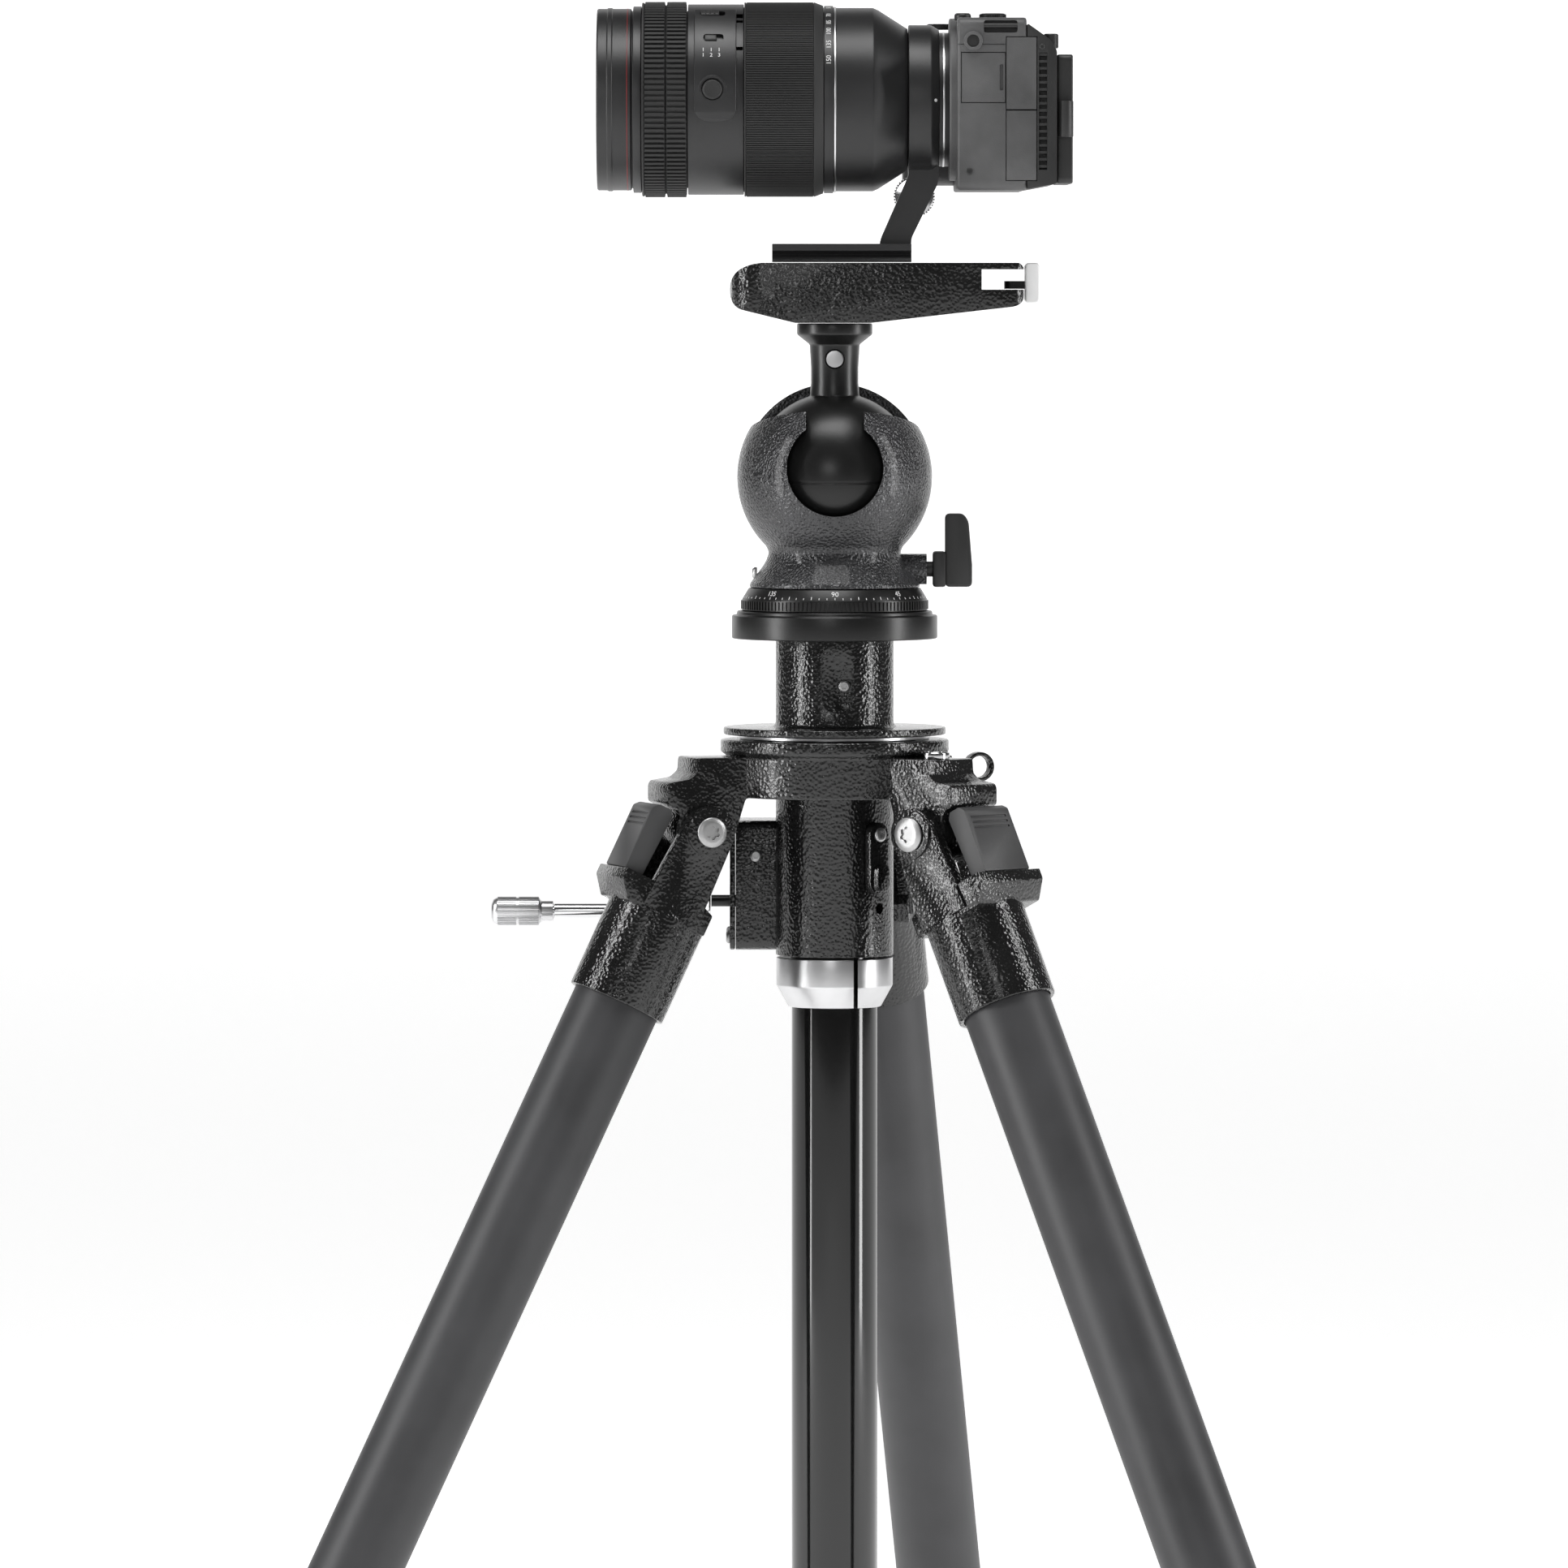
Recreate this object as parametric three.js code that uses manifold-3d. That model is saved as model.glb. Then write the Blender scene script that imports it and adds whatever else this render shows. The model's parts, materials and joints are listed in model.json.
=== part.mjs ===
// A film camera with a zoom lens, held by its lens foot on a ball head, a geared
// centre column and a three-legged stand. Millimetres, +Z up. The lens looks along -X.
import * as THREE from "three";
import { mergeVertices } from "three/addons/utils/BufferGeometryUtils.js";
import Module from "manifold-3d";

const wasm = await Module();
wasm.setup();

// ---------------------------------------------------------------- driving sizes
// Heights are measured from the leg hinges, radii from the column's axis.
const GAP = 0.3; // between pieces that touch, seat or slide on each other
const ROUND = 20; // sides of a round piece of the stand
const LENS_SIDES = 30; // sides of the lens, whose rings turn on each other
const FINE = 12; // sides of a small round piece

const LEG = {
  azimuths: { left: 198, right: 318, back: 78 },
  spread: 25.9, // degrees from upright, resting on the angle stop
  hingeRadius: 66.5,
  length: 600, // hinge to the floor, along the leg, all sections pushed in
  tubeRadius: 20.1,
  tubeWall: 1.7,
  lowerWall: 1.5,
  lowerTop: 75, // hinge to the upper end of the lower tube
  lockTop: 486,
  lockBottom: 541,
  lockWall: 4.2,
  seat: 20, // length of tube held in a lock or in a foot
  socketTop: 38,
  socketBottom: 87,
  socketWall: 2.4,
  earReach: 11.7, // radius of the ear round the hinge bolt
  earThick: 6.5,
  bossHeight: 1.6,
  boltRadius: 4,
  boltHeadRadius: 7.9,
  boltHeadHeight: 2,
  footWall: 2.9, // rubber round the lower tube, at the foot's middle
  footNeck: 3, // collar above the round part
  footSole: 2.2, // how far the round foot is flattened
};

const CROWN = {
  bore: 37.6,
  drumRadius: 49.5,
  rimRadius: 52.2,
  bottom: 14.8,
  drumTop: 33.5,
  top: 40.7,
  tongueHalf: 15.5, // half the width of the arm between a leg's ears
  tongueReach: 14, // radius of the arm round the hinge bolt
  ledgeReach: 18, // outer stop ledge, from the hinge
  armTop: 33.3,
};

const TAB = { inner: 15.6, outer: 27.6, top: 2, bottom: 30.5, half: 15, travel: 6 };

const GEAR = {
  module: 1.5,
  teeth: 12,
  pressure: 20, // degrees
  backlash: 0.3,
  spread: 0.15, // added to the centre distance
  width: 9,
  height: -34.9, // of the pinion's axis
  shaftRadius: 2.7,
  topTooth: -16, // where the rack starts and ends on the column
  bottomTooth: -300,
};

const SLEEVE = {
  radius: 26.9,
  bottom: -58.1,
  plugBottom: 20,
  flangeRadius: 43.5,
  flangeTop: CROWN.top + 1.9,
};
const GEARBOX = { left: -45.2, right: 10.5, front: 3, back: 40.5, top: 3, bottom: -56.3, round: 4 };
const COLLAR = {
  radius: 26.6,
  top: SLEEVE.bottom - 1,
  coneTop: SLEEVE.bottom - 13.7,
  bottom: SLEEVE.bottom - 23.5,
  lowRadius: 21.2,
  slitLeft: 8.6,
  slit: 1.9,
};

// Up the column, each piece's height is given over the piece that carries it.
const NECK = { radius: 27, discRadius: 50.8, discTop: SLEEVE.flangeTop + 3.7, top: SLEEVE.flangeTop + 43.7 };
const COLUMN = { radius: 19.6, wall: 2.2, top: NECK.top - 10.8, bottom: -372 };
const FLANGE = { radius: 46.9, top: NECK.top + 11.1, stepRadius: 44.6, stepTop: NECK.top + 13 };
const PAN = { radius: 42.8, knurlTop: FLANGE.stepTop + 5.1, topRadius: 39.2, top: FLANGE.stepTop + 10.3 };

const ballCentre = PAN.top + 50.8;
const BALL = {
  centre: ballCentre,
  radius: 38.4,
  clearance: 1.2, // round the ball, in its shell
  stemRadius: 11.4,
  stemTop: ballCentre + 60.2,
  flangeRadius: 17.2,
  flangeTop: ballCentre + 69.8,
};
const HOUSING = {
  radius: BALL.radius + 6.1,
  waistRadius: 30,
  waist: PAN.top + 16.3,
  baseRadius: 38.9,
  rimHeight: 22.2, // of the rim over the ball's centre, at the middle
  rimSlope: 0.253, // how much higher the rim is towards the front
  backWall: 13.5, // where the full rear shell starts, behind the stem
  notchRadius: 21.9,
  notchCentre: 4.4, // over the ball's centre
  notchHalf: BALL.stemRadius + 1.8, // half the width of the way up to the rim
  bossEnd: 42,
  bossRadius: 7,
  bossHeight: PAN.top + 8.6,
};

const PLATFORM = {
  bottom: BALL.flangeTop,
  top: BALL.flangeTop + 27.6,
  left: -47.8,
  right: 86,
  half: 24,
  slotLeft: 66.7,
  slotBottom: BALL.flangeTop + 15.4,
  slotTop: BALL.flangeTop + 24.6,
};
const LEVER = {
  pivotX: 81,
  pivotY: 9,
  hub: 3.6,
  thick: 3.6,
  left: PLATFORM.right + 0.6,
  right: PLATFORM.right + 7.3,
  bottom: PLATFORM.top - 18.4,
  half: 9,
};
const PLATE = {
  left: -28.5,
  right: 34.8,
  bottom: PLATFORM.top + GAP,
  top: PLATFORM.top + 8.6,
  half: 19,
  lipHalf: 16,
};

const LENS = {
  axis: PLATE.top + 65.6,
  front: -108.1,
  frontRadius: 41.3,
  ringFront: -91.8,
  ringRadius: 42.6,
  focusFront: -87.6,
  focusBack: -67,
  focusRadius: 44.8,
  barrelRadius: 43.3,
  zoomFront: -41.1,
  zoomBack: -9.3,
  zoomRadius: 44.6,
  zoomEnd: -5,
  rearRadius: 41.7,
  coneFront: 17.4,
  coneBack: 33.1,
  coneRadius: 32.1,
  neckRadius: 30.4,
  mount: 53.3,
  tubeRadius: 37.6, // the sliding tube behind the front ring
  tubeWall: 1.8,
  skin: 2.4, // wall of the barrels
  travel: 45,
};

const COLLAR_RING = { front: 33.4, back: 43.7, end: 47.4, radius: 33.9 };
const CAMERA = {
  front: 51.9,
  shellFront: 55.2,
  shellBack: 86.3,
  doorBack: 91.1,
  back: 100,
  near: -50,
  far: 80,
  bottom: LENS.axis - 41.6,
  top: LENS.axis + 36.3,
  wall: 2.6,
  gripFront: 31.5,
  gripNear: 42,
  corner: 5,
};
const SCREEN = {
  back: 107.4,
  near: -42,
  far: 45,
  bottom: CAMERA.bottom + 3,
  top: CAMERA.top - 16.5,
  axisY: -46,
  knuckle: 3.6,
  hingeLow: LENS.axis - 17.6,
  hingeHigh: LENS.axis - 1.2,
};
const RECORD_BUTTON = { x: 57.9, y: -20, radius: 3.8, rise: 2.6, travel: 1.2, well: 2 };
const FOOT_KNOB = {
  x: (COLLAR_RING.front + COLLAR_RING.end) / 2 - 4,
  height: LENS.axis - 44,
  radius: 9.4,
  stud: 3,
  face: 11, // half the thickness of the strut it clamps
};

const LEVEL = { radius: 6.6, height: 3, reach: 61.2 };
const HOOK = { azimuth: 18, centre: 69.5, height: 27, radius: 6.8, wire: 1.8, half: 3 };
const BRAKE = { azimuth: -49, height: -2, length: 22, half: 5.5, thick: 4, stud: 3 };
const KNOB = {
  radius: 25,
  front: HOUSING.radius + 2.5,
  back: HOUSING.radius + 18.5,
  lobes: 12,
  stud: 5,
};
const PANEL = { front: -63.7, back: -44.7, rise: 1.8, low: -17, high: 66 };
const BUTTON = { x: -55.5, drop: 3.9, radius: 4.6, travel: 1, well: LENS.barrelRadius - 2.7 };
const SWITCH = { x: -56.6, angle: 59, half: 4.2, wide: 1.5, travel: 2.4 };

const CRANK = {
  hub: -56.5, // outer end of the pinion's shaft
  armThick: 7,
  radius: 22,
  droop: 15.6, // degrees the arm points below +Y
  rodRadius: 3.4,
  knobStart: -129.5,
  knobEnd: -158,
  knobRadius: 6.6,
  pinEnd: -150,
  pinRadius: 2.2,
};

// ---------------------------------------------------------------- shape helpers
const radians = (degrees) => (degrees * Math.PI) / 180;
const inOrder = (a, b) => [Math.min(a, b), Math.max(a, b)];

// A closed geometry as a solid: shared corners merged, faces turned outwards.
function solidOf(geometry) {
  const plain = geometry.clone();
  plain.deleteAttribute("normal");
  plain.deleteAttribute("uv");
  const merged = mergeVertices(plain, 1e-3);
  const corners = merged.attributes.position.array;
  const build = (faces) =>
    new wasm.Manifold(new wasm.Mesh({ numProp: 3, vertProperties: corners, triVerts: faces }));
  const faces = new Uint32Array(merged.index.array);
  const made = build(faces);
  if (made.volume() > 0) return made;
  return build(faces.reverse());
}

function geometryOf(solid) {
  const mesh = solid.getMesh();
  return new THREE.BufferGeometry()
    .setAttribute("position", new THREE.BufferAttribute(new Float32Array(mesh.vertProperties), 3))
    .setIndex(new THREE.BufferAttribute(new Uint32Array(mesh.triVerts), 1));
}

const combine = (pieces, step) => geometryOf(pieces.map(solidOf).reduce(step));
const join = (...pieces) => combine(pieces, (whole, next) => whole.add(next));
const cut = (...pieces) => combine(pieces, (whole, next) => whole.subtract(next));
const common = (...pieces) => combine(pieces, (whole, next) => whole.intersect(next));

// A turned piece: [radius, height] corners about the Z axis.
function turned(corners, sides = ROUND) {
  const profile = corners.map(([radius, height]) => new THREE.Vector2(radius, height));
  const first = profile[0];
  const last = profile[profile.length - 1];
  const onAxis = first.x === 0 && last.x === 0;
  if (!onAxis) profile.push(first.clone());
  return new THREE.LatheGeometry(profile, sides).rotateX(Math.PI / 2);
}

// A turned piece about the X axis, [position along X, radius] corners, at the given height.
const turnedAlongX = (corners, height, sides = ROUND) =>
  turned(corners.map(([along, radius]) => [radius, along]), sides)
    .rotateY(Math.PI / 2)
    .translate(0, 0, height);

const ring = (outer, inner, bottom, top, sides = ROUND) =>
  turned([[inner, bottom], [outer, bottom], [outer, top], [inner, top]], sides);

const pipe = (outer, inner, front, back, height, sides = ROUND) =>
  turnedAlongX([[front, inner], [front, outer], [back, outer], [back, inner]], height, sides);

const block = (x0, x1, y0, y1, z0, z1) =>
  new THREE.BoxGeometry(x1 - x0, y1 - y0, z1 - z0).translate((x0 + x1) / 2, (y0 + y1) / 2, (z0 + z1) / 2);

const disc = (radius, bottom, top, sides = FINE) =>
  new THREE.CylinderGeometry(radius, radius, top - bottom, sides)
    .rotateX(Math.PI / 2)
    .translate(0, 0, (bottom + top) / 2);

const rodAlongX = (radius, x0, x1, y, z, sides = FINE) =>
  disc(radius, x0, x1, sides).rotateY(Math.PI / 2).translate(0, y, z);

const rodAlongY = (radius, y0, y1, x, z, sides = FINE) =>
  new THREE.CylinderGeometry(radius, radius, y1 - y0, sides).translate(x, (y0 + y1) / 2, z);

// A flat outline in X and Z (a THREE.Shape in x and y), as thick as y0 to y1.
const slab = (outline, y0, y1, curveSegments = 10) =>
  new THREE.ExtrudeGeometry(outline, { depth: y1 - y0, bevelEnabled: false, curveSegments })
    .rotateX(Math.PI / 2)
    .translate(0, y1, 0);

// A flat outline in X and Y, from z0 up to z1.
const sheet = (outline, z0, z1, curveSegments = 10) =>
  new THREE.ExtrudeGeometry(outline, { depth: z1 - z0, bevelEnabled: false, curveSegments })
    .translate(0, 0, z0);

const polygon = (corners) => new THREE.Shape(corners.map(([x, y]) => new THREE.Vector2(x, y)));

// A rectangle with rounded corners.
function rounded(x0, x1, y0, y1, radius) {
  const shape = new THREE.Shape();
  shape.absarc(x1 - radius, y0 + radius, radius, -Math.PI / 2, 0, false);
  shape.absarc(x1 - radius, y1 - radius, radius, 0, Math.PI / 2, false);
  shape.absarc(x0 + radius, y1 - radius, radius, Math.PI / 2, Math.PI, false);
  shape.absarc(x0 + radius, y0 + radius, radius, Math.PI, 1.5 * Math.PI, false);
  shape.closePath();
  return shape;
}

const finishes = {
  hammeredBlack: { color: 0x1b1c1e, roughness: 0.28, metalness: 0.3 },
  hammeredGrey: { color: 0x4a4b50, roughness: 0.35, metalness: 0.3 },
  satinBlack: { color: 0x17181a, roughness: 0.4, metalness: 0.6 },
  glossBlack: { color: 0x0b0b0c, roughness: 0.12, metalness: 0.2 },
  carbon: { color: 0x46474b, roughness: 0.42, metalness: 0.1 },
  aluminium: { color: 0xd0d1d3, roughness: 0.3, metalness: 1 },
  chrome: { color: 0xe3e4e6, roughness: 0.08, metalness: 1 },
  rubber: { color: 0x1f2022, roughness: 0.8, metalness: 0 },
  greyPlastic: { color: 0x515257, roughness: 0.5, metalness: 0 },
  blackPlastic: { color: 0x1c1d1f, roughness: 0.45, metalness: 0 },
  lensBlack: { color: 0x222326, roughness: 0.42, metalness: 0.2 },
  bodyGrey: { color: 0x6a6c72, roughness: 0.5, metalness: 0.2 },
  whiteLever: { color: 0xe8e8e8, roughness: 0.3, metalness: 0.1 },
  glass: { color: 0x243038, roughness: 0.05, metalness: 0 },
  level: { color: 0x9fb07a, roughness: 0.1, metalness: 0 },
};

const stand = new THREE.Group();

// Adds one named piece to a group, with its faces turned outwards.
function piece(name, geometry, finish, parent = stand) {
  const shape = geometryOf(solidOf(geometry));
  const mesh = new THREE.Mesh(shape, new THREE.MeshStandardMaterial(finishes[finish]));
  mesh.name = name;
  parent.add(mesh);
  return mesh;
}

// ---------------------------------------------------------------- crown
// The arm that reaches between one leg's ears, with its stop ledges, at azimuth 0.
function crownArm() {
  const hinge = LEG.hingeRadius;
  const reach = CROWN.tongueReach;
  const start = radians(30);
  const end = radians(-150);
  const tip = hinge + CROWN.ledgeReach;
  const outline = new THREE.Shape();
  outline.moveTo(CROWN.bore + 5, CROWN.armTop);
  outline.lineTo(hinge + 3.5, CROWN.armTop);
  outline.lineTo(hinge + 4, CROWN.armTop - 6.5);
  outline.lineTo(hinge + 7.5, CROWN.armTop - 9.5);
  outline.lineTo(tip - 1, CROWN.armTop - 11);
  outline.lineTo(tip, CROWN.armTop - 13);
  outline.lineTo(tip, CROWN.armTop - 20.4);
  outline.lineTo(hinge + 13.6, 10.8);
  outline.absarc(hinge, 0, reach, start, end, true);
  outline.lineTo(CROWN.drumRadius - 2, CROWN.bottom);
  outline.lineTo(CROWN.bore + 5, CROWN.bottom);
  outline.closePath();
  const arm = slab(outline, -CROWN.tongueHalf, CROWN.tongueHalf, 7);
  const pin = rodAlongY(LEG.boltRadius + GAP, -CROWN.tongueHalf - 1, CROWN.tongueHalf + 1, hinge, 0, 10);
  return cut(arm, pin);
}

function crownCasting() {
  const drum = turned([
    [CROWN.bore, CROWN.bottom],
    [CROWN.drumRadius - 1, CROWN.bottom],
    [CROWN.drumRadius, CROWN.bottom + 1],
    [CROWN.drumRadius, CROWN.drumTop],
    [CROWN.rimRadius, CROWN.drumTop + 1.5],
    [CROWN.rimRadius, CROWN.top - 1.7],
    [CROWN.rimRadius - 1.7, CROWN.top],
    [CROWN.bore, CROWN.top],
  ]);
  const arms = Object.values(LEG.azimuths).map((azimuth) => crownArm().rotateZ(radians(azimuth)));
  return join(drum, ...arms);
}
piece("crown_casting", crownCasting(), "hammeredBlack");

// The round bubble level on the right arm.
const levelHolder = new THREE.Group();
levelHolder.rotation.z = radians(LEG.azimuths.right);
stand.add(levelHolder);
const levelBottom = CROWN.armTop + GAP;
const levelShape = turned(
  [
    [0, levelBottom],
    [LEVEL.radius, levelBottom],
    [LEVEL.radius, levelBottom + LEVEL.height - 1],
    [LEVEL.radius - 1, levelBottom + LEVEL.height],
    [0, levelBottom + LEVEL.height],
  ],
  24,
).translate(LEVEL.reach, 0, 0);
piece("bubble_level", levelShape, "level", levelHolder);

// The strap hook: a flat loop on a foot, standing out of the crown between two arms.
function strapHook() {
  const outline = new THREE.Shape();
  outline.absarc(HOOK.centre, HOOK.height, HOOK.radius, 0, 2 * Math.PI, false);
  const eye = new THREE.Path();
  eye.absarc(HOOK.centre, HOOK.height, HOOK.radius - HOOK.wire, 0, 2 * Math.PI, true);
  outline.holes.push(eye);
  const loop = slab(outline, -HOOK.half, HOOK.half, 14);
  const foot = CROWN.rimRadius + GAP;
  const inner = CROWN.drumRadius + GAP;
  const base = block(inner, foot + 3, -HOOK.half - 1, HOOK.half + 1, HOOK.height - 5, HOOK.height + 5.5);
  const reach = HOOK.centre - HOOK.radius + 1;
  const arm = block(foot, reach, -HOOK.half, HOOK.half, HOOK.height - 2, HOOK.height + 5.5);
  const wall = disc(CROWN.drumRadius + GAP, CROWN.bottom, CROWN.top, 2 * ROUND);
  return cut(join(loop, base, arm), wall);
}
piece("strap_hook", strapHook().rotateZ(radians(HOOK.azimuth)), "hammeredBlack");

// ---------------------------------------------------------------- one leg
// A leg is drawn hanging straight down from its hinge: x outwards, y along the bolt.
const socketRadius = LEG.tubeRadius + GAP + LEG.socketWall;
const earInner = CROWN.tongueHalf + GAP;
const earOuter = earInner + LEG.earThick;
const webTop = -TAB.bottom - GAP;
const lowerRadius = LEG.tubeRadius - LEG.tubeWall - GAP;
const footRadius = lowerRadius + LEG.footWall;

function legCasting() {
  const ear = new THREE.Shape();
  ear.absarc(0, 0, LEG.earReach, 0, Math.PI, false);
  ear.lineTo(-LEG.earReach - 1.5, -LEG.socketTop - 4);
  ear.lineTo(LEG.earReach + 3, -LEG.socketTop - 4);
  ear.closePath();
  const ears = [-1, 1].map((side) => {
    const plate = slab(ear, ...inOrder(side * earInner, side * earOuter), 6);
    const bossEnds = inOrder(side * (earOuter - 0.5), side * (earOuter + LEG.bossHeight));
    return join(plate, rodAlongY(LEG.earReach - 1, ...bossEnds, 0, 0, 14));
  });
  const web = slab(
    polygon([
      [-18, webTop - 3],
      [-10, webTop],
      [TAB.outer + 0.6, webTop],
      [TAB.outer + 0.6, webTop - 5],
      [socketRadius - 1, -LEG.socketTop - 8],
      [-18, -LEG.socketTop - 8],
    ]),
    -earOuter + 1.5,
    earOuter - 1.5,
  );
  const socket = turned([
    [0, -LEG.socketTop],
    [socketRadius - 3, -LEG.socketTop],
    [socketRadius, -LEG.socketTop - 4],
    [socketRadius, -LEG.socketBottom],
    [0, -LEG.socketBottom],
  ]);
  const bore = disc(LEG.tubeRadius + GAP, -LEG.socketBottom - 1, -LEG.socketTop - 6, ROUND);
  const bolt = rodAlongY(LEG.boltRadius + GAP, -40, 40, 0, 0, 10);
  return cut(join(web, socket, ...ears), bore, bolt);
}

function hingeBolt() {
  const face = earOuter + LEG.bossHeight + GAP;
  const shank = rodAlongY(LEG.boltRadius, -face - 0.5, face + 0.5, 0, 0, 10);
  const head = rodAlongY(LEG.boltHeadRadius, -face - LEG.boltHeadHeight, -face, 0, 0, 16);
  const nut = rodAlongY(LEG.boltHeadRadius - 1, face, face + LEG.boltHeadHeight, 0, 0, 16);
  return join(shank, head, nut);
}

function angleTab() {
  const outline = polygon([
    [TAB.inner + 1.5, TAB.top - 3],
    [TAB.inner + 3.5, TAB.top],
    [TAB.outer - 2.5, TAB.top],
    [TAB.outer, TAB.top - 2.5],
    [TAB.outer, -TAB.bottom],
    [TAB.inner + 3, -TAB.bottom],
  ]);
  return slab(outline, -TAB.half, TAB.half);
}

function twistLock() {
  const outer = LEG.tubeRadius + LEG.lockWall;
  const upperBore = LEG.tubeRadius + GAP;
  const lowerBore = lowerRadius + GAP;
  const step = -LEG.lockTop - LEG.seat;
  return turned([
    [upperBore, -LEG.lockTop],
    [outer, -LEG.lockTop],
    [outer, -LEG.lockBottom + 4],
    [outer - 2, -LEG.lockBottom],
    [lowerBore, -LEG.lockBottom],
    [lowerBore, step],
    [upperBore, step],
  ]);
}

// The foot is a rubber ball on a collar, flattened where it stands on the floor.
function foot() {
  const spread = radians(LEG.spread);
  const floor = LEG.length * Math.cos(spread);
  const centre = (floor - footRadius + LEG.footSole) / Math.cos(spread);
  const ballTop = centre - footRadius - LEG.footNeck;
  const inner = lowerRadius + GAP;
  const collar = ring(inner + 2.6, inner, -centre, -ballTop);
  const ball = new THREE.SphereGeometry(footRadius, 14, 8)
    .rotateX(Math.PI / 2)
    .translate(0, 0, -centre);
  const tubeEnd = disc(inner, -ballTop - LEG.seat, -ballTop + 30, ROUND);
  const below = block(0, LEG.length, -60, 60, -60, 0).translate(0, 0, -floor).rotateY(spread);
  return { shape: cut(join(ball, collar), tubeEnd, below), tubeEnd: -ballTop - LEG.seat + GAP };
}

for (const [side, azimuth] of Object.entries(LEG.azimuths)) {
  const hinge = new THREE.Group();
  hinge.rotation.set(0, 0, radians(azimuth));
  stand.add(hinge);
  const leg = new THREE.Group();
  leg.position.x = LEG.hingeRadius;
  leg.rotation.y = -radians(LEG.spread);
  hinge.add(leg);
  const sole = foot();
  const upperEnd = -LEG.lockTop - LEG.seat + GAP;
  const upperTube = ring(LEG.tubeRadius, LEG.tubeRadius - LEG.tubeWall, upperEnd, -LEG.socketTop - 6 - GAP);
  const lowerTube = ring(lowerRadius, lowerRadius - LEG.lowerWall, sole.tubeEnd, -LEG.lowerTop);
  piece("leg_casting_" + side, legCasting(), "hammeredBlack", leg);
  piece("hinge_bolt_" + side, hingeBolt(), "chrome", leg);
  piece("angle_tab_" + side, angleTab(), "greyPlastic", leg);
  piece("leg_upper_tube_" + side, upperTube, "carbon", leg);
  piece("twist_lock_" + side, twistLock(), "rubber", leg);
  piece("leg_lower_tube_" + side, lowerTube, "carbon", leg);
  piece("foot_" + side, sole.shape, "rubber", leg);
}

// ---------------------------------------------------------------- geared column
const pitchRadius = (GEAR.module * GEAR.teeth) / 2;
const rackPitchLine = COLUMN.radius - 1.8;
const rackTip = rackPitchLine + 0.8 * GEAR.module;
const rackRoot = rackPitchLine - 1.25 * GEAR.module;
const pinionY = rackPitchLine + pitchRadius + GEAR.spread;
const toothPitch = Math.PI * GEAR.module;

// One tooth gap of the rack, wide towards +Y, centred on height 0.
function rackGap() {
  const slope = Math.tan(radians(GEAR.pressure));
  const half = toothPitch / 4 + GEAR.backlash / 2;
  const atRoot = half - (rackPitchLine - rackRoot) * slope;
  const top = rackTip + 2;
  const atTop = half + (top - rackPitchLine) * slope;
  const outline = polygon([
    [rackRoot, -atRoot],
    [top, -atTop],
    [top, atTop],
    [rackRoot, atRoot],
  ]);
  return slab(outline, -GEAR.width / 2 - 0.5, GEAR.width / 2 + 0.5).rotateZ(Math.PI / 2);
}

function columnTube() {
  const tube = ring(COLUMN.radius, COLUMN.radius - COLUMN.wall, COLUMN.bottom, COLUMN.top);
  const half = GEAR.width / 2;
  const rackBack = rackRoot - 3;
  const { bottomTooth, topTooth } = GEAR;
  const inWall = COLUMN.radius - COLUMN.wall + 0.4;
  const rack = block(-half - 1.5, half + 1.5, rackBack, inWall, bottomTooth - 4, topTooth + 4);
  const groove = block(-half - 0.5, half + 0.5, rackTip, COLUMN.radius + 2, bottomTooth, topTooth);
  const gaps = [];
  const first = Math.ceil((GEAR.bottomTooth + 1 - GEAR.height) / toothPitch);
  const last = Math.floor((GEAR.topTooth - 1 - GEAR.height) / toothPitch);
  for (let tooth = first; tooth <= last; tooth++) {
    gaps.push(rackGap().translate(0, 0, GEAR.height + tooth * toothPitch));
  }
  return cut(join(tube, rack), groove, ...gaps);
}
piece("column_tube", columnTube(), "glossBlack");

// The involute outline of the pinion, with one tooth pointing along +x.
function gearOutline() {
  const outside = pitchRadius + 0.9 * GEAR.module;
  const root = pitchRadius - 1.15 * GEAR.module;
  const base = pitchRadius * Math.cos(radians(GEAR.pressure));
  const involute = (radius) => {
    const stretch = Math.sqrt(Math.max(0, (radius / base) ** 2 - 1));
    return stretch - Math.atan(stretch);
  };
  const halfAtPitch = (toothPitch / 2 - GEAR.backlash) / (2 * pitchRadius);
  const halfAngle = (radius) => halfAtPitch + involute(pitchRadius) - involute(Math.max(radius, base));
  const levels = [root, base, (base + outside) / 2, outside];
  const corners = [];
  for (let tooth = 0; tooth < GEAR.teeth; tooth++) {
    const middle = (2 * Math.PI * tooth) / GEAR.teeth;
    for (const radius of levels) corners.push([radius, middle - halfAngle(radius)]);
    for (const radius of [...levels].reverse()) corners.push([radius, middle + halfAngle(radius)]);
  }
  return polygon(corners.map(([radius, angle]) => [radius * Math.cos(angle), radius * Math.sin(angle)]));
}

function pinionShaft() {
  const half = GEAR.width / 2;
  const gear = sheet(gearOutline(), -half, half)
    .rotateY(Math.PI / 2)
    .rotateX(-Math.PI / 2);
  const toColumn = gear.translate(0, pinionY, GEAR.height);
  const shaft = rodAlongX(GEAR.shaftRadius, CRANK.hub, half + 5, pinionY, GEAR.height);
  const journal = rodAlongX(GEAR.shaftRadius + 2, -half - 20, -half + 1, pinionY, GEAR.height);
  return join(toColumn, shaft, journal);
}
piece("pinion_shaft", pinionShaft(), "satinBlack");

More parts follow.
